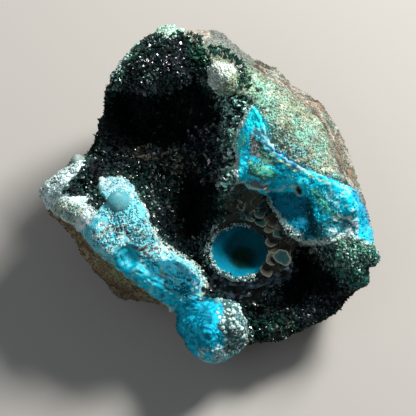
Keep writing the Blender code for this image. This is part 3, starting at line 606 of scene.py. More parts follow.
def marked(points, colours, marks):
    """The colours with the marks laid over them one after the other."""
    seen = pixels(points)
    wander = np.column_stack([fractal(points, 4, 51), fractal(points, 4, 52)]) * EDGE_RUN / PIXEL
    crumb = np.column_stack([noise(points, 1.0, 53), noise(points, 1.0, 54)]) * EDGE_CRUMB / PIXEL
    seen = seen + wander + crumb
    for number, (kind, colour, softness, strength, line, *size) in enumerate(marks.values()):
        if kind == "line":
            depth = size[0] / 2 - away_from(seen, line, closed=False)
        elif kind == "spot":
            depth = size[0] - np.linalg.norm(seen - np.array(line[0]), axis=1)
        elif kind == "ring":
            depth = RING_WIDTH - np.abs(np.linalg.norm(seen - np.array(line[0]), axis=1) - size[0])
        else:
            depth = inside_by(seen, line)
        weight = smooth(depth * PIXEL, -softness, softness) * strength
        if kind == "mottled":
            weight[weight > 0] *= smooth(fractal(points[weight > 0], size[0], 400 + number), 0.12, 0.42)
        colours = over(colours, weight, colour)
    return colours


def face_colour(points, rim):
    """What is seen on the face at each point."""
    return marked(points, matrix_colour(points, rim), MARKS)


def rim_depth(points):
    """Millimetres beyond (positive) or within (negative) the widest line, seen from above."""
    arms = points[:, :2] - centre
    radius, _ = girth_at(np.arctan2(arms[:, 1], arms[:, 0]))
    return np.hypot(*arms.T) - radius


# The rock's skin

def rock_shape():
    """A ball whose upper half is drawn over the face and whose lower half becomes the sides."""
    ball, faces = ball_of(7)
    angle = np.arctan2(ball[:, 1], ball[:, 0])
    radius, height = girth_at(angle)
    depth = np.arccos(np.clip(ball[:, 2], -1, 1)) / (math.pi / 2)
    share = np.where(depth < 1, math.sqrt(2) * np.sin(depth * math.pi / 4), 1)
    fall = np.clip((depth - 1) / 0.6, 0, 1)
    share = np.where(depth > 1, 1 - GIRTH_TUCK * fall**2, share)
    share = np.where(depth > 1.6, (1 - GIRTH_TUCK) * (2 - depth) / 0.4, share)
    flat = centre + np.column_stack([np.cos(angle), np.sin(angle)]) * (share * radius)[:, None]
    lowest = GROUND - BELOW_GROUND
    level = np.where(depth < 1, relief.height(flat), height - fall * (height - lowest))
    points = np.column_stack([flat, level])
    side = np.clip((depth - 1) / 0.35, 0, 1)
    layer = (points[:, 2] + 3 * noise(points, 25, 61)) / STRATUM
    chip = 0.8 * noise(points, 11, 62) + 0.5 * noise(points, 4, 63)
    step = 0.3 + 0.4 * (layer - np.floor(layer))
    inwards = side * (STRATUM_DEPTH * step + CHIP_DEPTH * (0.6 + chip))
    out = np.column_stack([np.cos(angle), np.sin(angle), np.zeros(len(angle))])
    return points - out * inwards[:, None], faces


def thickened(points, faces, normals, thickness):
    """A closed sheet: the faces, a copy below them, and a band that joins their edges."""
    count = len(points)
    below = faces[:, ::-1] + count
    starts = faces.ravel()
    ends = np.roll(faces, -1, axis=1).ravel()
    low, high = np.minimum(starts, ends), np.maximum(starts, ends)
    _, first, times = np.unique(low.astype(np.int64) * count + high, return_index=True, return_counts=True)
    rim = first[times == 1]
    band = np.column_stack([ends[rim], starts[rim], starts[rim] + count, ends[rim] + count])
    return np.vstack([points, points - normals * thickness]), np.vstack([faces, below, band])


def patch_of(points, faces, chosen):
    """The faces whose corners are all chosen, renumbered, and the points they use."""
    kept = faces[chosen[faces].all(axis=1)]
    used = np.unique(kept)
    index = np.full(len(points), -1)
    index[used] = np.arange(len(used))
    return used, index[kept]


def refined(points, faces):
    """Every square split in four, and for each new point the four old ones that it lies between."""
    starts = faces.ravel()
    ends = np.roll(faces, -1, axis=1).ravel()
    low, high = np.minimum(starts, ends), np.maximum(starts, ends)
    edges, index = np.unique(low.astype(np.int64) * len(points) + high, return_inverse=True)
    first, second = edges // len(points), edges % len(points)
    same = np.arange(len(points))
    sources = np.vstack([
        np.column_stack([same] * 4), np.column_stack([first, first, second, second]), faces,
    ])
    middles = index.reshape(faces.shape) + len(points)
    centres = np.arange(len(faces)) + len(points) + len(edges)
    quads = [
        np.column_stack([faces[:, k], middles[:, k], centres, middles[:, k - 1]]) for k in range(4)
    ]
    return sources, np.vstack(quads)


# Materials

def shader_tree(name):
    """A new material, its nodes and its shader."""
    made = bpy.data.materials.new(name)
    made.use_nodes = True
    tree = made.node_tree
    return made, tree, tree.nodes["Principled BSDF"]


def texture(tree, kind, size, **settings):
    """A noise or cell texture with features about size millimetres across, in the piece's own space."""
    place = tree.nodes.new("ShaderNodeTexCoord")
    made = tree.nodes.new(kind)
    made.inputs["Scale"].default_value = 1 / (size * MM)
    for socket, value in settings.items():
        made.inputs[socket.replace("_", " ")].default_value = value
    tree.links.new(place.outputs["Object"], made.inputs["Vector"])
    return made


def remap(tree, source, low, high, to_low, to_high):
    """A value moved from the range low to high into another range."""
    made = tree.nodes.new("ShaderNodeMapRange")
    for socket, value in zip(("From Min", "From Max", "To Min", "To Max"), (low, high, to_low, to_high)):
        made.inputs[socket].default_value = value
    tree.links.new(source, made.inputs["Value"])
    return made.outputs["Result"]


def mixed(tree, blend, factor, first, second):
    """Two colours mixed; each may be a socket or a plain colour."""
    made = tree.nodes.new("ShaderNodeMix")
    made.data_type = "RGBA"
    made.blend_type = blend
    for socket, value in ((made.inputs[0], factor), (made.inputs[6], first), (made.inputs[7], second)):
        if isinstance(value, bpy.types.NodeSocket):
            tree.links.new(value, socket)
        else:
            socket.default_value = value
    return made.outputs[2]


def shaded_paint(tree, texture_out, low, high, darkest, lightest):
    """The piece's painted colour, darker and lighter with a texture."""
    paint = tree.nodes.new("ShaderNodeAttribute")
    paint.attribute_name = "mineral"
    shade = remap(tree, texture_out, low, high, darkest, lightest)
    grey = tree.nodes.new("ShaderNodeCombineColor")
    for channel in ("Red", "Green", "Blue"):
        tree.links.new(shade, grey.inputs[channel])
    return mixed(tree, "MULTIPLY", 1.0, paint.outputs["Color"], grey.outputs["Color"])


def surfaced(tree, shader, colour, rough, height, strength, bump):
    """Gives the shader its colour, its roughness and a fine relief bump millimetres high."""
    relief_node = tree.nodes.new("ShaderNodeBump")
    relief_node.inputs["Strength"].default_value = strength
    relief_node.inputs["Distance"].default_value = bump * MM
    tree.links.new(height, relief_node.inputs["Height"])
    tree.links.new(colour, shader.inputs["Base Color"])
    tree.links.new(rough, shader.inputs["Roughness"])
    tree.links.new(relief_node.outputs["Normal"], shader.inputs["Normal"])


def grained_material(name, grain, roughness, bump, speck=None, speck_strength=0.5, shine=0.2):
    """A mineral surface: its painted colour, broken by grain of a given size, specks and a fine relief."""
    made, tree, shader = shader_tree(name)
    fine = texture(tree, "ShaderNodeTexNoise", grain, Detail=6, Roughness=0.65).outputs["Fac"]
    broad = texture(tree, "ShaderNodeTexNoise", grain * 6, Detail=4, Roughness=0.6).outputs["Fac"]
    colour = shaded_paint(tree, fine, 0.25, 0.75, 0.62, 1.32)
    patchy = remap(tree, broad, 0.35, 0.7, 0.0, 0.25)
    colour = mixed(tree, "MULTIPLY", patchy, colour, (0.55, 0.6, 0.5, 1))
    if speck is not None:
        dots = texture(tree, "ShaderNodeTexVoronoi", grain * 2.2).outputs["Distance"]
        near = remap(tree, dots, 0.12, 0.3, speck_strength, 0.0)
        colour = mixed(tree, "MIX", near, colour, (*linear(speck), 1))
    rough = remap(tree, fine, 0.3, 0.7, roughness - 0.12, min(1, roughness + 0.12))
    surfaced(tree, shader, colour, rough, fine, 1.0, bump)
    shader.inputs["Specular IOR Level"].default_value = shine
    return made


def crystal_material(name, roughness, ior):
    """Dark lustrous crystal faces with faint growth lines."""
    made, tree, shader = shader_tree(name)
    cloud = texture(tree, "ShaderNodeTexNoise", 0.5, Detail=3, Roughness=0.6).outputs["Fac"]
    lines = texture(tree, "ShaderNodeTexNoise", 0.12, Detail=2).outputs["Fac"]
    colour = shaded_paint(tree, cloud, 0.3, 0.7, 0.6, 1.5)
    rough = remap(tree, cloud, 0.3, 0.7, roughness * 0.6, roughness * 1.6)
    surfaced(tree, shader, colour, rough, lines, 0.5, 0.02)
    shader.inputs["IOR"].default_value = ior
    return made


rock_material = grained_material("layered_rock", 0.55, 0.85, 0.3, (60, 52, 40), 0.45)
crust_material = grained_material("knobbly_chrysocolla", 0.5, 0.75, 0.25, (96, 84, 62), 0.3)
vein_material = grained_material("waxy_chrysocolla", 0.5, 0.6, 0.16, shine=0.12)
cup_material = grained_material("smooth_chrysocolla", 0.8, 0.75, 0.05, shine=0.06)
azurite_material = grained_material("blue_black_azurite", 0.4, 0.5, 0.12, shine=0.2)
plate_material = grained_material("plated_growth", 0.6, 0.8, 0.12, shine=0.08)
crystals_material = crystal_material("dark_crystals", 0.22, 1.6)
# A duller copy of the crystal finish for where no light reaches, as painted shade.
deep_material = crystal_material("unlit_crystals", 0.6, 1.2)
glint_material = crystal_material("bright_faces", 0.12, 1.9)

# The rock

base_points, base_faces = rock_shape()
skin_points, skin_normals, skin_faces = remeshed("skin", base_points, base_faces, SKIN_VOXEL)
drop = relief.height(skin_points[:, :2]) - skin_points[:, 2]
on_face = smooth(skin_normals[:, 2], 0.0, 0.12) * (1 - smooth(drop, 3, 6))
skin_seen = pixels(skin_points)
skin_rim = rim_depth(skin_points)


def depth_in(region):
    """Millimetres that each point of the rock's skin lies inside a region of the picture."""
    return inside_by(skin_seen, region) * PIXEL


crystal_depth = depth_in(CRYSTAL_REGION)
crust_depth = depth_in(CRUST_REGION)
ledge_depth = depth_in(LEDGE_REGION)
cup_point = relief.under(CUP_CENTRE)
cup_away = np.linalg.norm(skin_points[:, :2] - cup_point[:2], axis=1)


def facets(points, size, seed):
    """Flat chips that tilt at random, from 0 down to about -1."""
    scaled = points / size + 0.12 * fractal(points, size / 3, seed + 5)[:, None]
    base = np.floor(scaled)
    nearest = np.full(len(points), 9.0)
    fall = np.zeros(len(points))
    for offset in np.ndindex(3, 3, 3):
        cell = base + np.array(offset) - 1
        middle = np.column_stack([lattice(cell, seed + k) for k in (1, 2, 3)])
        apart = scaled - cell - middle
        gap = np.linalg.norm(apart, axis=1)
        tilt = np.column_stack([lattice(cell, seed + k) for k in (6, 7, 8)]) - 0.5
        closer = gap < nearest
        nearest[closer] = gap[closer]
        fall[closer] = ((apart * tilt).sum(axis=1) * 1.2 - 0.5 * lattice(cell, seed + 9))[closer]
    return fall - 0.25


def rock_relief():
    """Knobs and grain on the face and broken layers on the sides, along the normals."""
    grain = 0.45 * fractal(skin_points, 5, 71) + 0.3 * fractal(skin_points, 1.7, 72)
    knobs = 1.3 * fractal(skin_points, 8, 74) * smooth(crystal_depth, 0, 3) * on_face
    depth = bedding(skin_points)
    layer = depth / 3.2 + 0.8 * fractal(skin_points, 9, 73)
    step = layer - np.floor(layer)
    ledges = -0.5 * smooth(step, 0.6, 0.95) + 0.5 * smooth(step, 0.0, 0.15) - 0.5
    side = (1 - on_face) * smooth(skin_points[:, 2], GROUND + 0.6, GROUND + 3)
    layered = smooth(noise(skin_points, 16, 77), -0.3, 0.4)
    chips = 2.5 * facets(skin_points * (1, 1, 1.2), 13, 78) + 1.1 * facets(skin_points, 5, 88)
    broken = ledges * layered * 0.4 + chips + 0.35 * fractal(skin_points, 3.0, 76)
    wander = skin_rim + 1.6 * noise(skin_points, 12, 45) + 0.9 * noise(skin_points, 4, 46)
    band = noise(np.column_stack([wander / 0.75, skin_points[:, :2] / 14]), 1, 47)
    banded = smooth(wander, -7.5, -5) * on_face * (crystal_depth < 0)
    return grain * (0.4 + 0.6 * on_face) + knobs + side * np.minimum(broken, 0.2) + banded * band * 0.4


WALL_MOSS = [(112, 266), (124, 270), (138, 282), (136, 290), (120, 284), (110, 274)]
rock_points = skin_points + skin_normals * rock_relief()[:, None]
well = CUP_LEVEL - WELL_DEPTH + WELL_RISE * smooth(cup_away, CUP_RADIUS - 1.2, CUP_RADIUS + 0.4)
rock_points[:, 2] -= HIGH_SHARE * np.maximum(rock_points[:, 2] - HIGH_ROCK, 0)
in_well = (cup_away < CUP_RADIUS + 0.3) & (on_face > 0.5)
rock_points[in_well, 2] = np.minimum(rock_points[in_well, 2], well[in_well])
flat = skin_points[:, 2] < GROUND + 0.35
rock_points[:, 2] = np.where(flat, GROUND, np.maximum(rock_points[:, 2], GROUND))
face_colours = face_colour(skin_points, skin_rim)
rock_colours = strata_colour(skin_points)
arms = skin_points[:, :2] - centre
below_girth = girth_at(np.arctan2(arms[:, 1], arms[:, 0]))[1] - skin_points[:, 2]
run_over = 1 - smooth(below_girth + 5 * fractal(skin_points, 9, 79) + 2 * noise(skin_points, 2, 84), 1, 7)
face_share = np.maximum(on_face, run_over * 0.9)
rock_colours += face_share[:, None] * (face_colours - rock_colours)
left_side = (skin_seen[:, 0] < LEFT_SIDE) & (skin_seen[:, 1] > LOWER_SIDE)
wall = smooth(skin_rim, -7, -3) * on_face * (crust_depth < -0.3) * left_side
rock_colours += wall[:, None] * (strata_colour(skin_points) * 1.25 - rock_colours)
moss = smooth(depth_in(WALL_MOSS), -1.2, 1.2) * smooth(fractal(skin_points, 2.0, 85), -0.3, 0.3)
rock_colours = over(rock_colours, moss * 0.8, (132, 152, 112))
piece("layered_rock", rock_points, skin_faces, rock_colours, rock_material, ["matrix_rock"])


# Crusts

def crust(name, depth, rise, lumps, paint, material, nodes, white=0.0, where=None, fine=False):
    """A crust that lies on the rock where depth is positive, thick to its edge and crumbling there."""
    chosen = (depth > -1.5) & (on_face > 0.2) & (cup_away > CUP_RADIUS - 1.2)
    if where is not None:
        chosen &= where
    used, faces = patch_of(skin_points, skin_faces, chosen)
    points, normals, inside, rim = skin_points[used], skin_normals[used], depth[used], skin_rim[used]
    if fine:
        sources, faces = refined(points, faces)
        points, normals = points[sources].mean(axis=1), normals[sources].mean(axis=1)
        inside, rim = inside[sources].mean(axis=1), rim[sources].mean(axis=1)
    inside = inside + 0.45 * fractal(points, 2.2, 81)
    kept, faces = patch_of(points, faces, inside > -0.1)
    points, normals, inside, rim = points[kept], normals[kept], inside[kept], rim[kept]
    lift = rise * smooth(inside, 0.0, 0.7) - 0.2 + lumps(points)
    colours = paint(points, rim)
    edge = (1 - smooth(inside, 0.1, 0.9)) * smooth(fractal(points, 1.2, 82), -0.3, 0.3)
    colours = over(colours, edge * white, WHITE)
    raised = points + normals * lift[:, None]
    closed, all_faces = thickened(raised, faces, normals, CRUST_THICKNESS)
    return piece(name, closed, all_faces, np.vstack([colours, colours]), material, nodes)


def dish_of(points):
    """Distance from the middle of the smooth dish, and the lift of its hollow and lip."""
    away = np.linalg.norm((points - relief.under(DISH_CENTRE)) * (1, 1, 0.3), axis=1)
    return away, -1.2 * (1 - smooth(away, 1.0, 4.2)) + 0.5 * np.exp(-(((away - 4.6) / 0.7) ** 2))


def knobbly(points):
    """Swollen knobs, crumbs and small pits, but for one smooth dish."""
    far, _, _ = cells(points, 2.4, 91)
    small, _, _ = cells(points, 1.1, 92)
    pit, _, chance = cells(points, 1.8, 93)
    pits = -0.7 * (1 - smooth(pit, 0.1, 0.4)) * (chance > 0.5)
    dish, bowl = dish_of(points)
    rough = 0.6 * (0.6 - far) + 0.5 * (0.6 - small) + pits + 0.3 * fractal(points, 2.5, 94)
    return rough * smooth(dish, 3.2, 4.6) + bowl


def rippled(points):
    """Low folds with fine ripples, and one small hole."""
    folds = fractal(points, 5, 95)
    ridge = 0.35 - np.abs(noise(points * (1, 1, 0.5), 3.2, 98))
    fine = 0.15 * noise(points * (1, 2.5, 1), 1.3, 96) + 0.3 * fractal(points, 1.2, 97)
    hole = np.linalg.norm(pixels(points) - np.array(HOLE_CENTRE), axis=1) * PIXEL
    return 0.45 * folds + 0.5 * ridge + fine - 1.6 * (1 - smooth(hole, 0.7, 1.4))


def folded(points):
    """Smooth waxy folds crossed by fine wavy lines, round a dish."""
    dish, bowl = dish_of(points)
    sway = points[:, 1] + 0.35 * points[:, 0] + 1.1 * fractal(points, 3.5, 131)
    lines = np.sin(sway * math.tau / 1.25) * (0.5 + 0.5 * noise(points, 2.5, 132))
    folds = 0.5 * fractal(points, 4.5, 133) + 0.35 * (0.4 - np.abs(noise(points, 2.4, 134)))
    rough = folds + 0.22 * lines + 0.28 * fractal(points, 1.0, 135)
    return rough * smooth(dish, 3.2, 5.0) + bowl


def ribs(points):
    """0.45 along the middle of wavy ribs, and less away from it."""
    return 0.45 - np.abs(fractal(points * (0.7, 1.3, 1), 2.2, 99))


def ribbed(points):
    """Wavy ribs with gaps between them."""
    return 1.2 * ribs(points) + 0.3 * fractal(points, 1.0, 100)


def plates(points):
    """How far inside its own plate each point is, 1 on the plate's lip, and the plate's own number."""
    swayed = points / PLATE_SIZE + 0.15 * fractal(points, PLATE_SIZE / 2, 93)[:, None]
    nearest, second, number = cells(swayed, 1, 88)
    inside = second - nearest
    return inside, np.exp(-(((inside - 0.16) / 0.08) ** 2)), number


def plated(points):
    """Low smooth plates with raised lips and gaps between them."""
    inside, lip, number = plates(points)
    gap = 1 - smooth(inside, 0.0, 0.12)
    return 0.7 * (number - 0.5) + 0.3 * lip - 0.6 * gap + 0.15 * fractal(points, 1.6, 89)


def azurite_colours(points, rim):
    """Blue-violet ribs over near-black gaps."""
    return laid(points, (9, 13, 18), [
        (smooth(ribs(points), 0.1, 0.4) * 0.9, (78, 92, 120)),
        (smooth(fractal(points, 2.2, 121), 0.25, 0.6) * 0.8, (26, 74, 66)),
        (smooth(fractal(points, 1.1, 122), 0.45, 0.8) * 0.7, (112, 128, 132)),
    ])


def grey_colours(points, rim):
    """Taupe plates with pale lips and dull teal ones among them."""
    inside, lip, number = plates(points)
    colours = laid(points, (52, 54, 48), [
        (smooth(fractal(points, 3, 123), 0.0, 0.7) * 0.5, (76, 76, 68)),
        ((number > 0.7) * 0.8, (12, 60, 60)),
    ])
    colours = over(marked(points, colours, GROWTH_MARKS), lip * 0.5, (128, 130, 120))
    return over(colours, (1 - smooth(inside, 0.02, 0.1)) * 0.85, (14, 18, 16))


SMOOTH_REGION = [  # the waxy side of the left crust: dish, strip, deep blue and tongue
    (104, 262), (112, 252), (126, 243), (142, 248), (152, 256), (168, 262), (186, 266), (200, 270),
    (212, 290), (230, 296), (232, 340), (222, 370), (190, 370), (170, 320), (140, 296), (112, 276),
]
AZURITE_REGION = [
    (206, 258), (212, 270), (226, 278), (246, 281), (266, 277), (280, 268), (290, 262), (297, 266),
    (290, 278), (272, 288), (264, 297), (246, 302), (226, 299), (210, 286),
]
GREY_REGION = [
    (228, 192), (240, 185), (266, 190), (276, 204), (287, 224), (296, 234), (296, 246), (290, 262),
    (280, 272), (270, 268), (276, 250), (270, 232), (258, 222), (240, 220), (230, 212),
]
azurite_depth = depth_in(AZURITE_REGION)
grey_depth = depth_in(GREY_REGION)
smooth_side = depth_in(SMOOTH_REGION)
crust(
    "turquoise_crust", crust_depth, 0.9, knobbly, face_colour, crust_material,
    ["chrysocolla_crust"], 0.8, smooth_side < 0.9,
)
crust(
    "turquoise_tongue", crust_depth, 0.9, folded, face_colour, vein_material,
    ["chrysocolla_crust"], 0.6, smooth_side > 0, fine=True,
)
crust(
    "turquoise_vein", ledge_depth, 0.7, rippled, face_colour, vein_material,
    ["chrysocolla_ledge"], 0.7, fine=True,
)
crust("azurite_crust", azurite_depth, 0.6, ribbed, azurite_colours, azurite_material, [])
crust("grey_crust", grey_depth, 0.5, plated, grey_colours, plate_material, [], fine=True)


# The cup

CUP_PROFILE = [  # radius and height, from the foot over the lip to the middle of the bowl
    (0, -7.5), (5, -7.5), (8.8, -5), (9.9, -1.5), (10.2, 0.0), (10.0, 0.7), (9.6, 0.6), (8.9, -0.4),
    (7.8, -1.9), (6.2, -3.5), (4.2, -4.7), (2, -5.3), (0, -5.4),
]
CUP_RINGS, CUP_SPOKES = 46, 132


def cup():
    """A round bowl, turned about its own axis."""
    rings, spokes = CUP_RINGS, CUP_SPOKES
    steps = np.arange(len(CUP_PROFILE))
    along = np.linspace(0, steps[-1], rings)
    radius, height = (np.interp(along, steps, measure) for measure in zip(*CUP_PROFILE))
    angle = np.linspace(0, math.tau, spokes, endpoint=False)
    ring, spoke = np.meshgrid(np.arange(1, rings - 1), np.arange(spokes), indexing="ij")
    body = np.column_stack([
        (radius[ring] * np.cos(angle[spoke])).ravel(),
        (radius[ring] * np.sin(angle[spoke])).ravel(),
        height[ring].ravel(),
    ])
    points = np.vstack([body, [(0, 0, height[0])], [(0, 0, height[-1])]])
    count = (rings - 2) * spokes
    first = (ring[:-1] - 1) * spokes + spoke[:-1]
    after = (ring[:-1] - 1) * spokes + (spoke[:-1] + 1) % spokes
    sides = np.column_stack([side.ravel() for side in (first, after, after + spokes, first + spokes)])
    turn = np.arange(spokes)
    foot = np.column_stack([np.full(spokes, count), (turn + 1) % spokes, turn])
    last = (rings - 3) * spokes
    bottom = np.column_stack([np.full(spokes, count + 1), last + turn, last + (turn + 1) % spokes])
    triangles = np.vstack([sides[:, [0, 1, 2]], sides[:, [0, 2, 3]], foot, bottom])
    return points, triangles


def lean(points):
    """Points turned from the cup's own axes to its leaning ones."""
    turn_x, turn_y = CUP_TILT
    c, s = math.cos(turn_x), math.sin(turn_x)
    points = points @ np.array([[1, 0, 0], [0, c, s], [0, -s, c]])
    c, s = math.cos(turn_y), math.sin(turn_y)
    return points @ np.array([[c, 0, -s], [0, 1, 0], [s, 0, c]])


def cup_colours(points):
    """Deep turquoise, darker teal and olive towards the shaded side as painted shade, and white along the
    crumbling rim, whitest on the lit side as painted light.
    """
    away = np.hypot(points[:, 0], points[:, 1])
    shade = np.hypot(points[:, 0] - 2.8, points[:, 1] - 2.6) + 0.3 * noise(points, 2, 101)
    core = np.hypot(points[:, 0] - 1.3, points[:, 1] + 0.1) + 0.4 * noise(points, 2, 109)
    rim = smooth(away + 0.5 * fractal(points, 1.2, 103), 9.2, 9.8)
    lit_side = smooth(-points[:, 0] - 0.6 * points[:, 1], -2, 3)
    dark = smooth(fractal(points, 1.2, 104), 0.0, 0.5) * rim
    return laid(points, (0, 112, 138), [
        (smooth(noise(points, 3, 102), -0.2, 0.8) * 0.35, (0, 136, 160)),
        # Painted shade: the side away from the lamp is darker teal; the olive core over it is partly the
        # bowl's own colour and partly painted shade.
        ((1 - smooth(shade, 6.2, 8.2)) * 0.94, (0, 70, 82)),
        ((1 - smooth(core, 2.6, 5.4)) * 0.92, (2, 36, 24)),
        (rim * 0.9, (70, 74, 66)),
        # Painted light laid with the rim's own white crust: the rim is whitest on the lit side.
        (rim * lit_side * 0.8, (170, 204, 200)),
        (dark * 0.85, (36, 44, 40)),
    ])


cup_points, cup_faces = cup()
crumble = smooth(np.hypot(cup_points[:, 0], cup_points[:, 1]), 8.4, 9.6)
rough = 0.45 * fractal(cup_points, 1.3, 105) + 0.25 * noise(cup_points, 0.6, 106)
cup_points[:, 2] += crumble * (rough * 1.6 - 0.5) + (1 - crumble) * 0.12 * fractal(cup_points, 2.5, 107)
cup_points[:, :2] *= (1 + 0.05 * fractal(cup_points * (1, 1, 0) + 5, 5, 108))[:, None]
cup_paint = cup_colours(cup_points)
cup_place = np.array([cup_point[0], cup_point[1], CUP_LEVEL])
placed_cup = lean(cup_points) + cup_place
piece("turquoise_cup", placed_cup, cup_faces, cup_paint, cup_material, ["chrysocolla_cup"])


# Crystals

def crystal_template():
    """A blade with a rhombic section and a slanting chisel tip, one unit long."""
    ring = np.array([(1, 0), (0, 0.55), (-1, 0), (0, -0.55)])
    low = np.column_stack([ring, np.full(4, -0.35)])
    high = np.column_stack([ring * 0.92, [0.62, 0.74, 0.62, 0.7]])
    tip = np.array([(0.35, 0.05, 1.0), (-0.35, -0.05, 0.97)])
    points = np.vstack([low, high, tip])
    faces = []
    for side in range(4):
        other = (side + 1) % 4
        faces += [(side, other, 4 + other), (side, 4 + other, 4 + side)]
    faces += [(4, 5, 8), (5, 9, 8), (5, 6, 9), (6, 7, 9), (7, 8, 9), (7, 4, 8), (0, 2, 1), (0, 3, 2)]
    return points, np.array(faces)


def scatter(depth, per_mm2, draw, where):
    """Random places on the rock where depth is positive, their normals and the nearest mesh points."""
    chosen = (depth > 0.1) & where
    used, faces = patch_of(skin_points, skin_faces, chosen)
    corners = rock_points[used][faces]
    area = np.linalg.norm(np.cross(corners[:, 2] - corners[:, 0], corners[:, 3] - corners[:, 1]), axis=1) / 2
    count = int(area.sum() * per_mm2)
    picked = draw.choice(len(faces), count, p=area / area.sum())
    across, along = draw.random((2, count, 1))
    quad = corners[picked]
    low = quad[:, 0] * (1 - across) + quad[:, 1] * across
    high = quad[:, 3] * (1 - across) + quad[:, 2] * across
    nearest = used[faces[picked, 0]]
    return low * (1 - along) + high * along, skin_normals[nearest], nearest


def grown_crystals(places, normals, length, width, spread, draw, flat_tip=False):
    """Points and faces of a crystal at each place, leaning at random about the normal."""
    template, faces = crystal_template()
    if flat_tip:
        template[4:, 2] = 0.6
    count = len(places)
    axis = normals + draw.normal(0, spread, (count, 3))
    axis /= np.linalg.norm(axis, axis=1, keepdims=True)
    side = np.cross(axis, draw.normal(0, 1, (count, 3)))
    side /= np.linalg.norm(side, axis=1, keepdims=True)
    third = np.cross(axis, side)
    shape = template[None, :, :] * np.stack([width, width, length], axis=1)[:, None, :]
    points = (
        places[:, None, :]
        + shape[:, :, 0:1] * side[:, None, :]
        + shape[:, :, 1:2] * third[:, None, :]
        + shape[:, :, 2:3] * axis[:, None, :]
    )
    all_faces = faces[None, :, :] + (np.arange(count) * len(template))[:, None, None]
    return points.reshape(-1, 3), all_faces.reshape(-1, 3), len(template)


# Crystals of other colours: outline in pixels, softness in millimetres, share of the crystals and colour.
CRYSTAL_TINTS = {
    "fuzzy brown step": ([(130, 152), (150, 147), (174, 149), (190, 155), (184, 166), (200, 172), (190, 178),
        (160, 164), (138, 162)], 2, 0.95, (98, 96, 84)),
    "sugary mint by the turquoise": ([(216, 92), (228, 98), (246, 98), (250, 108), (244, 122), (236, 131),
        (234, 146), (238, 160), (235, 172), (236, 184), (228, 196), (222, 186), (226, 160), (224, 136),
        (226, 118), (216, 104)], 1.5, 0.95, (172, 230, 214)),
    "green top": ([(180, 32), (190, 36), (198, 48), (210, 56), (206, 78), (196, 70), (186, 50)], 1.5, 0.8,
        (30, 92, 66)),
    "mint left shoulder": ([(102, 90), (116, 70), (134, 50), (142, 50), (128, 70), (112, 92)], 1.5, 0.7,
        (96, 158, 136)),
    "green slope": ([(110, 168), (150, 166), (186, 172), (188, 190), (160, 210), (146, 200), (120, 176)], 2,
        0.7, (18, 62, 46)),
    "violet lower right": ([(306, 300), (330, 286), (352, 280), (366, 284), (350, 296), (334, 312),
        (312, 326), (300, 318)], 1.5, 0.85, (44, 48, 62)),
    "green lower edge": ([(243, 322), (262, 318), (284, 318), (300, 326), (296, 334), (274, 341), (250, 345),
        (240, 336)], 1.5, 0.7, (18, 78, 58)),
    "malachite on the right": ([(330, 244), (352, 238), (374, 244), (378, 258), (370, 271), (366, 284),
        (348, 288), (336, 272)], 1.5, 0.85, (60, 136, 116)),
    "pale malachite on the right": ([(338, 244), (352, 240), (366, 246), (372, 256), (362, 270), (350, 276),
        (340, 262)], 1.5, 0.55, (176, 220, 206)),
}
# Parts of the hollows that no light reaches.
DEEP_HOLLOWS = [
    [(108, 92), (126, 88), (150, 92), (172, 88), (192, 74), (202, 80), (214, 94), (222, 104), (220, 120),
     (204, 128), (196, 138), (186, 148), (166, 148), (140, 148), (124, 152), (108, 150), (104, 132),
     (103, 110)],
    [(178, 182), (190, 166), (206, 170), (218, 180), (222, 196), (222, 214), (206, 226), (198, 240),
     (186, 244), (176, 236), (170, 214)],
    [(292, 250), (304, 244), (314, 248), (328, 264), (338, 272), (344, 286), (330, 300), (308, 298),
     (290, 310), (270, 318), (254, 312), (252, 300), (268, 294), (288, 282)],
]


def shaded(seen):
    """0 where light reaches, 1 deep in a hollow."""
    return smooth(np.max([inside_by(seen, line) for line in DEEP_HOLLOWS], axis=0) * PIXEL, -1.0, 2.5)


def crystal_colours(places, draw):
    """Near-black green, greener towards the edges of the hollow, blue-black and mint in places, and darkened
    deep in the hollows as painted shade.
    """
    seen = pixels(places)
    edge = 1 - smooth(inside_by(seen, CRYSTAL_REGION) * PIXEL, 0.3, 5)
    green = np.clip(edge * 0.6 + 0.5 * fractal(places, 8, 111) + draw.normal(0, 0.25, len(places)), 0, 1)
    colours = np.tile(linear((14, 27, 31)), (len(places), 1))
    colours = over(colours, green * 0.85, (22, 72, 60))
    violet = smooth(fractal(places, 6, 113), 0.2, 0.7) * draw.random(len(places))
    colours = over(colours, violet * 0.6, (44, 44, 58))
    for region, softness, strength, colour in CRYSTAL_TINTS.values():
        reach = smooth(inside_by(seen, region) * PIXEL, -softness, softness)
        colours = over(colours, reach * strength * smooth(draw.random(len(places)), 0.4, 0.75), colour)
    # A few crystals at random, three in a hundred, are paler grey-green.
    pale_crystals = (draw.random(len(places)) < 0.03) * 0.8
    colours = over(colours, pale_crystals, (118, 128, 116)) * draw.uniform(0.6, 1.4, (len(places), 1))
    # Painted shade: deep in the hollows the crystals keep only a quarter of their colour.
    return colours * (1 - 0.75 * shaded(seen))[:, None]


def crystal_bed(name, depth, where, per_mm2, lengths, slenderness, spread, material, seed):
    """Crystals over a region, shorter and steeper near the lump's edge."""
    draw = np.random.default_rng(seed)
    places, normals, nearest = scatter(depth, per_mm2, draw, where)
    at_rim = smooth(skin_rim[nearest], -4, -1)
    length = draw.uniform(*lengths, len(places)) * (1 - 0.5 * at_rim)
    normals = normals + at_rim[:, None] * (0, 0, 1.2)
    normals /= np.linalg.norm(normals, axis=1, keepdims=True)
    width = length * draw.uniform(*slenderness, len(places))
    points, faces, corners = grown_crystals(places, normals, length, width, spread, draw)
    colours = np.repeat(crystal_colours(places, draw), corners, axis=0)
    return piece(name, points, faces, colours, material, ["crystal_crust"], False)


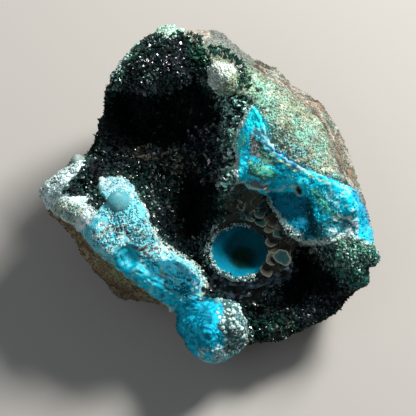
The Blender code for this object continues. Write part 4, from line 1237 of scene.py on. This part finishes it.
def glints(name, region, count, lengths, light, seed, tone):
    """Broad flat crystals turned so that they flash in the light, and painted pale as a painted highlight.
    """
    draw = np.random.default_rng(seed)
    places, _, _ = scatter(depth_in(region), 1.0, draw, bare)
    places = places[draw.choice(len(places), count, replace=False)]
    to_light = np.array(light) / MM - (places + FACE_SHIFT)
    to_light /= np.linalg.norm(to_light, axis=1, keepdims=True)
    flash = to_light + np.array([0, -math.cos(SIGHT), math.sin(SIGHT)])
    flash = flash / np.linalg.norm(flash, axis=1, keepdims=True) + draw.normal(0, 0.1, (count, 3))
    length = draw.uniform(*lengths, count)
    points, faces, corners = grown_crystals(places, flash * 0.5, length, length * 0.5, 0.0, draw, True)
    colours = np.repeat(linear(tone) * draw.uniform(0.4, 1.4, (count, 1)), corners, axis=0)
    return piece(name, points, faces, colours, glint_material, ["crystal_crust"], False)


bare = (on_face > 0.3) & (crust_depth < 0.1) & (ledge_depth < 0.1) & (cup_away > CUP_RADIUS - 0.3)
# Dark crystals that reach over the pale rock beside the hollows.
DARK_GROWTHS = [
    [(238, 70), (248, 73), (253, 84), (250, 92), (240, 90), (236, 80)],
    [(206, 43), (220, 49), (234, 55), (244, 64), (247, 73), (240, 74), (232, 64), (218, 58), (206, 58)],
    [(212, 94), (224, 96), (240, 97), (252, 103), (254, 110), (246, 112), (232, 110), (218, 106)],
    [(184, 31), (194, 33), (204, 40), (211, 50), (211, 62), (200, 60), (190, 46)],
]
GREEN_SHOULDER = [(312, 246), (334, 243), (352, 239), (372, 243), (380, 256), (372, 266), (330, 266)]
COARSE_REGION = [(186, 128), (236, 122), (234, 168), (226, 190), (206, 186), (190, 160)]
# Outline in pixels, number of crystals, lengths, the lamp that they face, seed and colour, pale as a painted
# highlight.
GLINTS = {
    "glints_pit": ([(192, 134), (208, 128), (234, 140), (232, 176), (222, 186), (200, 168)], 24, (1.1, 2.4),
        FILL_PLACE, 205, (160, 158, 172)),
    "glints_dome": ([(132, 62), (148, 50), (172, 50), (180, 62), (178, 86), (150, 92), (126, 82)], 54,
        (0.4, 1.0), KEY_PLACE, 206, (120, 118, 134)),
    "glints_slope": ([(64, 190), (92, 170), (140, 164), (150, 196), (162, 240), (210, 262), (196, 290),
        (150, 230)], 26, (0.5, 0.9), KEY_PLACE, 207, (92, 88, 108)),
    "glints_lower": ([(250, 322), (290, 290), (314, 296), (330, 306), (300, 330)], 8, (0.6, 1.2), KEY_PLACE,
        208, (92, 88, 108)),
}
UPPER_HALF = 2  # millimetres along y
LENGTHS, DEEP_LENGTHS, COARSE_LENGTHS = (0.7, 1.8), (0.8, 2.1), (1.6, 2.8)
GIRTHS, COARSE_GIRTHS = (0.28, 0.55), (0.3, 0.45)

dark_patch = np.max([depth_in(region) for region in DARK_GROWTHS], axis=0)
shoulder_depth = depth_in(GREEN_SHOULDER)
crystal_area = np.maximum.reduce([crystal_depth, dark_patch, shoulder_depth])
open_air = bare & (azurite_depth < 0.3) & (grey_depth < 0.3)
unlit = shaded(skin_seen) > 0.5
upper = skin_points[:, 1] > UPPER_HALF
# Crystals where no light reaches take the duller unlit_crystals material, as painted shade.
for name, where, per_mm2, lengths, material, seed in (
    ("crystals_upper", upper & ~unlit, 1.7, LENGTHS, crystals_material, 201),
    ("crystals_lower", ~upper & ~unlit, 1.8, LENGTHS, crystals_material, 202),
    ("crystals_deep", unlit, 1.1, DEEP_LENGTHS, deep_material, 203),
):
    crystal_bed(name, crystal_area, open_air & where, per_mm2, lengths, GIRTHS, 0.6, material, seed)
crystal_bed(
    "crystals_coarse", depth_in(COARSE_REGION), bare, 0.3, COARSE_LENGTHS, COARSE_GIRTHS, 0.5,
    crystals_material, 204,
)
for name, settings in GLINTS.items():
    glints(name, *settings)


# Round growths

def beads(name, centres, radii, colours, material, seed, height=1.0, rough=0.06, tint=WHITE):
    """Rounded lumps joined in one piece."""
    ball, faces = ball_of(3)
    points, all_faces, paint = [], [], []
    for number, (middle, radius, colour) in enumerate(zip(centres, radii, colours, strict=True)):
        apart = ball + number * 7
        swell = 1 + rough * fractal(apart, 0.9, seed) + 0.03 * noise(apart, 0.25, seed + 1)
        points.append(middle + ball * (radius, radius, radius * height) * swell[:, None])
        all_faces.append(faces + number * len(ball))
        blush = smooth(noise(ball + number, 0.6, seed + 2), 0, 0.9) * 0.4
        paint.append(over(np.tile(colour, (len(ball), 1)), blush, tint))
    return piece(name, np.vstack(points), np.vstack(all_faces), np.vstack(paint), material)


BALL_COLOUR = (84, 158, 170)
CHIP_COLOUR = (132, 150, 146)
beads(
    "crust_ball", [relief.under(BALL_CENTRE) + (0, 0, -0.3)], [BALL_RADIUS], [linear(BALL_COLOUR)],
    vein_material, 301, 0.72, 0.05,
)

COTTON_REGION = [
    (100, 181), (110, 177), (122, 182), (132, 190), (134, 202), (128, 200), (118, 191), (106, 192),
    (100, 190),
]
COTTON_TONES = [(170, 206, 212), (132, 186, 196), (96, 160, 174), (200, 222, 224)]
COTTON_TRIES, COTTON_LUMPS = 260, 70
cotton_draw = np.random.default_rng(311)
cotton_pixels = np.column_stack([
    cotton_draw.uniform(99, 135, COTTON_TRIES), cotton_draw.uniform(176, 204, COTTON_TRIES),
])
cotton_pixels = cotton_pixels[inside_by(cotton_pixels, COTTON_REGION) > 0][:COTTON_LUMPS]
cotton_tones = linear(COTTON_TONES)[cotton_draw.integers(0, len(COTTON_TONES), len(cotton_pixels))]
beads(
    "cotton_lumps", [relief.under(pixel) + (0, 0, 0.7) for pixel in cotton_pixels],
    cotton_draw.uniform(0.4, 1.2, len(cotton_pixels)), cotton_tones, crust_material, 312,
    0.8, 0.25,
)

beads(
    "pale_chip", [relief.under(PALE_CHIP) + (-0.4, 1.2, -2.0)], [2.3], [linear(CHIP_COLOUR)],
    crust_material, 305,
)

GRAPE_REGION = [
    (216, 299), (236, 302), (243, 312), (248, 330), (242, 345), (230, 351), (222, 344), (226, 334),
    (217, 322),
]
GRAPE_TONES = [(216, 236, 234), (204, 228, 226), (172, 208, 208), (190, 218, 216), (96, 160, 170)]
GRAPES = 130
grape_draw = np.random.default_rng(302)
grape_centres, grape_radii, grape_colours = [], [], []
while len(grape_centres) < GRAPES:
    pixel = np.array([[grape_draw.uniform(214, 250), grape_draw.uniform(298, 352)]])
    radius = grape_draw.uniform(0.4, 1.35)
    if inside_by(pixel, GRAPE_REGION)[0] < 0:
        continue
    spot = relief.under(pixel[0]) + (0, 0, 0.7)
    others = zip(grape_centres, grape_radii, strict=True)
    if any(np.linalg.norm(spot - other) < 0.8 * (radius + size) for other, size in others):
        radius *= 0.5
    grape_centres.append(spot)
    grape_radii.append(radius)
    tone = GRAPE_TONES[grape_draw.integers(0, len(GRAPE_TONES))]
    grape_colours.append(linear(tone) * grape_draw.uniform(0.7, 1.1))
beads(
    "white_beads", grape_centres, grape_radii, grape_colours, crust_material, 303,
    0.8, 0.16,
)


# Plates and crumbs that lie over the cup's edge.
edge_draw = np.random.default_rng(401)


def round_the_cup(angles, reach, rise):
    """Points about the cup's own axis, by their angles in degrees from the right."""
    turn = np.radians(angles)
    own = np.column_stack([reach * np.cos(turn), reach * np.sin(turn), np.broadcast_to(rise, len(turn))])
    return lean(own) + cup_place


PLATE_RINGS = [  # share of the plate's radius, height in millimetres and lip tone's share
    (0.0, 0.14, 0.0), (0.4, 0.12, 0.0), (0.76, 0.08, 0.1), (0.9, 0.2, 0.8), (1.0, 0.1, 0.6),
    (0.96, -0.5, 0.0), (0.7, -2.2, 0.0), (0.0, -2.4, 0.0),
]
PLATE_CORNERS = 26
PLATE_LIP = (90, 92, 84)


def thin_plates(name, spots, radii, tones, seed):
    """Thin irregular plates with pale raised lips, darker below their rims as painted shade, joined in one
    piece.
    """
    draw = np.random.default_rng(seed)
    turn = np.linspace(0, 2 * math.pi, PLATE_CORNERS, endpoint=False)
    points, faces, paint = [], [], []
    for number, (spot, radius, tone) in enumerate(zip(spots, radii, tones, strict=True)):
        phases = draw.uniform(0, 2 * math.pi, 3)
        outline = 1 + 0.13 * np.cos(2 * turn + phases[0]) + 0.09 * np.cos(3 * turn + phases[1])
        outline += 0.05 * np.cos(6 * turn + phases[2])
        tilt = draw.normal(0, 0.05, 2)
        for share, rise, lip in PLATE_RINGS:
            across = share * radius * outline
            level = np.full(PLATE_CORNERS, rise)
            own = np.column_stack([across * np.cos(turn), across * np.sin(turn), level])
            own[:, 2] += own[:, :2] @ tilt + 0.08 * fractal(own + spot, 1.2, seed)
            points.append(spot + lean(own))
            ring_tone = over(np.tile(tone, (PLATE_CORNERS, 1)), np.full(PLATE_CORNERS, lip), PLATE_LIP)
            # Painted shade: the rings below the plate's rim keep a quarter of their colour.
            paint.append(ring_tone * draw.uniform(0.8, 1.15, (PLATE_CORNERS, 1)) * (0.25 if rise < 0 else 1))
        for ring in range(len(PLATE_RINGS) - 1):
            inner = (number * len(PLATE_RINGS) + ring) * PLATE_CORNERS
            for corner in range(PLATE_CORNERS):
                after = (corner + 1) % PLATE_CORNERS
                outer = inner + PLATE_CORNERS
                if ring < len(PLATE_RINGS) - 2:
                    faces.append((inner + corner, outer + corner, outer + after))
                if ring:
                    faces.append((inner + corner, outer + after, inner + after))
    return piece(name, np.vstack(points), np.array(faces), np.vstack(paint), plate_material)


# Where the plates beside the cup lie: degrees from the right and millimetres from the cup's middle.
plate_angles = np.array([72.0, 52, 34, 16, -2, -20, -38, 62, 40, 20, 2, -14])
plate_reach = np.array([11.3, 11.1, 11.7, 11.0, 11.6, 11.2, 11.3, 14.3, 14.8, 14.4, 15.0, 14.4])
plate_radii = edge_draw.uniform(1.7, 2.6, len(plate_angles)) + 0.4 * (plate_reach > 13)
plate_spots = round_the_cup(plate_angles, plate_reach, 0.0)
plate_spots[:, 2] = np.maximum(plate_spots[:, 2], relief.height(plate_spots[:, :2]) + 0.2)
plate_spots[:, 2] += edge_draw.uniform(0, 0.3, len(plate_angles))
PLATE_TONES = [(52, 51, 45), (42, 44, 40), (60, 59, 52), (10, 44, 46)]
plate_tones = [linear(PLATE_TONES[edge_draw.integers(0, len(PLATE_TONES))]) for _ in plate_angles]
thin_plates("cup_plates", plate_spots, plate_radii, plate_tones, 402)


# Grains

def grains(name, places, sizes, colours, material, seed):
    """Small irregular crumbs joined in one piece."""
    draw = np.random.default_rng(seed)
    ball, faces = ball_of(1)
    count = len(places)
    reach = sizes[:, None] * draw.uniform(0.65, 1.3, (count, len(ball)))
    points = places[:, None, :] + ball[None, :, :] * reach[:, :, None]
    all_faces = faces[None, :, :] + (np.arange(count) * len(ball))[:, None, None]
    paint = np.repeat(colours, len(ball), axis=0)
    points, all_faces = points.reshape(-1, 3), all_faces.reshape(-1, 3)
    return piece(name, points, all_faces, paint, material, smooth_shaded=False)


def grain_bed(name, depth, where, per_mm2, sizes, palette, share, lift, material, seed):
    """Grains over a region; each takes the colour under it, mixed by share with one of the palette."""
    draw = np.random.default_rng(seed)
    places, normals, nearest = scatter(depth, per_mm2, draw, where)
    count = len(places)
    tones = linear(palette)[draw.integers(0, len(palette), count)]
    colours = face_colours[nearest]
    colours = colours + (share * draw.random((count, 1)) ** 0.5) * (tones - colours)
    radii = draw.uniform(*sizes, count)
    places = places + normals * (lift + radii[:, None] * 0.2)
    return grains(name, places, radii, colours, material, seed + 1)


facing_up = on_face > 0.3

def depth_in_mark(name):
    """Millimetres that each point of the rock's skin lies inside one of the marks."""
    return depth_in(MARKS[name][4])


left_wall = left_side & (crust_depth < 0)
grey_bed = depth_in_mark("bed of the grey growth")
off_growths = bare & (crystal_depth < 0) & (grey_depth < 0) & (grey_bed < 0) & ~left_wall
MATRIX_TONES = [(214, 224, 208), (96, 102, 82), (130, 200, 182), (176, 176, 152), (60, 66, 56)]
RIM_WIDTH = 5.5
grain_bed(
    "matrix_grains", -skin_rim - RIM_WIDTH, off_growths, 2.8, (0.16, 0.44), MATRIX_TONES, 0.6, 0.0,
    rock_material, 501,
)
grain_bed(
    "rim_grains", skin_rim + RIM_WIDTH, off_growths & (skin_seen[:, 0] > LEFT_SIDE), 2.5, (0.16, 0.4),
    [(200, 198, 184), (84, 74, 64), (150, 140, 124)], 0.25, 0.0, rock_material, 511,
)
for lump, tones in (
    ("pale lump", [(240, 250, 246), (200, 224, 214), (150, 176, 160), (88, 112, 98)]),
    ("mint crust at the top", [(226, 242, 234), (150, 206, 184), (104, 152, 132), (240, 248, 242)]),
):
    grain_bed(
        "grains_of_the_" + lump.replace(" ", "_"), depth_in_mark(lump), on_face > 0.05, 4.5, (0.25, 0.6),
        tones, 0.75, 0.15, rock_material, 521,
    )
crumbly_side = smooth_side < 0.5
waxy_side = (smooth_side > 0.5) & (depth_in_mark("dish") < 0) & (depth_in_mark("bright strip") < 0)
grain_bed(
    "crust_grains", crust_depth - 0.3, facing_up & crumbly_side, 3.4, (0.18, 0.42),
    [(232, 246, 246), (140, 220, 230), (70, 196, 214), (96, 78, 58), (200, 234, 238)], 0.6, 0.75,
    crust_material, 503,
)
grain_bed(
    "tongue_grains", crust_depth - 0.3, facing_up & waxy_side, 1.1, (0.12, 0.28),
    [(20, 196, 224), (0, 108, 142), (96, 206, 222), (0, 160, 194)], 0.55, 0.75,
    vein_material, 505,
)
off_hole = np.linalg.norm(skin_seen - np.array(HOLE_CENTRE), axis=1) > 7
grain_bed(
    "vein_grains", ledge_depth - 0.2, facing_up & off_hole, 1.3, (0.12, 0.3),
    [(60, 226, 244), (0, 112, 144), (150, 232, 240), (40, 150, 130), (0, 184, 218)],
    0.45, 0.55, vein_material, 507,
)
grain_bed(
    "malachite_grains", shoulder_depth, facing_up, 4.0, (0.2, 0.5),
    [(64, 148, 126), (26, 84, 72), (150, 204, 190), (20, 44, 42), (206, 226, 218)], 0.9, 0.3,
    rock_material, 509,
)
bare_wall = left_wall & (crystal_depth < -0.3) & (skin_points[:, 1] < 12)
grain_bed(
    "wall_grains", skin_points[:, 2] - GROUND - 3, bare_wall, 0.9, (0.15, 0.45),
    [(92, 78, 54), (122, 104, 76), (60, 50, 38), (132, 128, 96), (104, 84, 60)],
    1.0, 0.0, rock_material, 513,
)
grain_bed(
    "tip_grains", depth_in_mark("white tip"), (on_face > 0.05) & (crust_depth > 0), 3.5, (0.2, 0.5),
    [(222, 238, 232), (190, 216, 210), (110, 150, 150)], 0.9, 0.75, crust_material, 525,
)

RING_CRUMBS = 60
RING_REACH = (5.2, 2.8)  # pixels across and up
RING_COLOUR = (190, 198, 176)
ring_turn = edge_draw.uniform(0, 2 * math.pi, RING_CRUMBS)
ring_pixels = RING_CENTRE + np.column_stack([np.cos(ring_turn), np.sin(ring_turn)]) * RING_REACH
grains(
    "small_pale_ring", np.array([relief.under(pixel) for pixel in ring_pixels]) + (0, 0, 0.5),
    edge_draw.uniform(0.25, 0.5, RING_CRUMBS),
    linear(RING_COLOUR) * edge_draw.uniform(0.6, 1.1, (RING_CRUMBS, 1)), rock_material, 527,
)

CRUMB_TONES = [(214, 226, 220), (150, 190, 188), (64, 96, 92), (20, 34, 34), (190, 214, 210)]
CRUMBS = 280
CRUMB_REACH = 9.9
crumb_angles = edge_draw.uniform(66, 300, CRUMBS)
crumb_turn = np.radians(crumb_angles)
crumb_circle = np.column_stack([np.cos(crumb_turn), np.sin(crumb_turn), np.zeros(CRUMBS)])
crumb_reach = CRUMB_REACH + 0.5 * fractal(crumb_circle * 10, 4, 403) + edge_draw.normal(0, 0.42, CRUMBS)
crumb_tones = linear(CRUMB_TONES)[edge_draw.integers(0, len(CRUMB_TONES), CRUMBS)]
grains(
    "cup_crumbs", round_the_cup(crumb_angles, crumb_reach, edge_draw.uniform(-0.3, 0.7, CRUMBS)),
    edge_draw.uniform(0.15, 0.45, CRUMBS), crumb_tones, crust_material, 404,
)

# Lines of pale grains along the growths' edges, with their widths in pixels.
WHITE_EDGES = {
    "by the druse": ([(251, 104), (245, 119), (237, 130), (235, 144), (238, 158), (235, 168), (238, 180),
        (230, 192)], 5),
    "of the left crust": ([(151, 230), (156, 240), (164, 249), (179, 257), (190, 264), (199, 272),
        (202, 286)], 8),
    "under the recess": ([(268, 198), (279, 216), (290, 232), (304, 239), (322, 242), (341, 236), (357, 238),
        (368, 247)], 7),
    "round the cup": ([(226, 221), (216, 227), (209, 236), (206, 248), (208, 262), (216, 273), (231, 280),
        (250, 281), (262, 276)], 4),
    "of the left shoulder": ([(140, 47), (132, 51), (126, 59), (118, 69), (113, 76)], 4),
    "of the pale lump": ([(208, 68), (210, 82), (216, 92), (226, 96)], 5),
    "of the left tip": ([(42, 194), (54, 184), (69, 171), (82, 160)], 9),
    "left tip, inner": ([(56, 204), (72, 200), (86, 204), (97, 214), (104, 222)], 7),
}
EDGE_TONES = [(226, 240, 234), (190, 220, 216), (150, 200, 196), (40, 60, 54), (214, 230, 226)]
off_cup = facing_up & (cup_away > CUP_RADIUS - 1.5)
for number, (where, (line, width)) in enumerate(WHITE_EDGES.items()):
    near = (width / 2 - away_from(skin_seen, line, closed=False)) * PIXEL
    lift = 0.5 if "left" in where or "recess" in where else 0.1
    grain_bed(
        "white_edge_" + where.replace(" ", "_").replace(",", ""), near, off_cup, 5.2, (0.2, 0.52),
        EDGE_TONES, 1.0, lift, crust_material, 520 + 2 * number,
    )

# Stage

FLOOR_COLOUR = (0.4, 0.385, 0.36, 1)
FLOOR_ROUGHNESS = 0.9
LIT_POINT = (0, 0, 0.02)  # metres
KEY_LIGHT = (14.5, 0.22, (1.0, 0.98, 0.95))  # watts, metres across and colour
FILL_LIGHT = (1.6, 0.8, (0.9, 0.95, 1.0))
ROOM_COLOUR = (0.75, 0.82, 0.88, 1)
ROOM_STRENGTH = 0.16
CAMERA_AWAY = 2.4  # metres
SENSOR = 36.0
AIM_HEIGHT = 25

floor_mesh = bpy.data.meshes.new("floor")
bm = bmesh.new()
bmesh.ops.create_grid(bm, x_segments=1, y_segments=1, size=2)
bm.to_mesh(floor_mesh)
bm.free()
floor = bpy.data.objects.new("floor", floor_mesh)
bpy.context.scene.collection.objects.link(floor)
floor_material, floor_tree, floor_shader = shader_tree("pale_floor")
floor_shader.inputs["Base Color"].default_value = FLOOR_COLOUR
floor_shader.inputs["Roughness"].default_value = FLOOR_ROUGHNESS
floor_mesh.materials.append(floor_material)


def area_light(name, place, power, size, colour):
    """A square lamp turned to the specimen."""
    lamp = bpy.data.lights.new(name, "AREA")
    lamp.energy = power
    lamp.size = size
    lamp.color = colour
    made = bpy.data.objects.new(name, lamp)
    made.location = place
    made.rotation_euler = (Vector(LIT_POINT) - Vector(place)).to_track_quat("-Z", "Y").to_euler()
    bpy.context.scene.collection.objects.link(made)


area_light("key", KEY_PLACE, *KEY_LIGHT)
area_light("fill", FILL_PLACE, *FILL_LIGHT)

world = bpy.data.worlds.new("soft_room")
world.use_nodes = True
background = world.node_tree.nodes["Background"]
background.inputs["Color"].default_value = ROOM_COLOUR
background.inputs["Strength"].default_value = ROOM_STRENGTH
bpy.context.scene.world = world
bpy.context.scene.view_settings.view_transform = "Standard"

middle_v = (PICTURE_ORIGIN[1] - PICTURE / 2) * PIXEL
aim = stand([(0, middle_v, AIM_HEIGHT)])[0] + FACE_SHIFT
aim[0] = FACE_SHIFT[0] + (PICTURE / 2 - PICTURE_ORIGIN[0]) * PIXEL
sight_line = Vector((0, -math.cos(SIGHT), math.sin(SIGHT)))
lens = bpy.data.cameras.new("camera")
lens.sensor_width = SENSOR
lens.lens = SENSOR * CAMERA_AWAY / (PICTURE * PIXEL * MM)
lens.clip_end = 20
camera = bpy.data.objects.new("camera", lens)
camera.location = Vector(aim * MM) + sight_line * CAMERA_AWAY
camera.rotation_euler = (-sight_line).to_track_quat("-Z", "Y").to_euler()
bpy.context.scene.collection.objects.link(camera)
bpy.context.scene.camera = camera
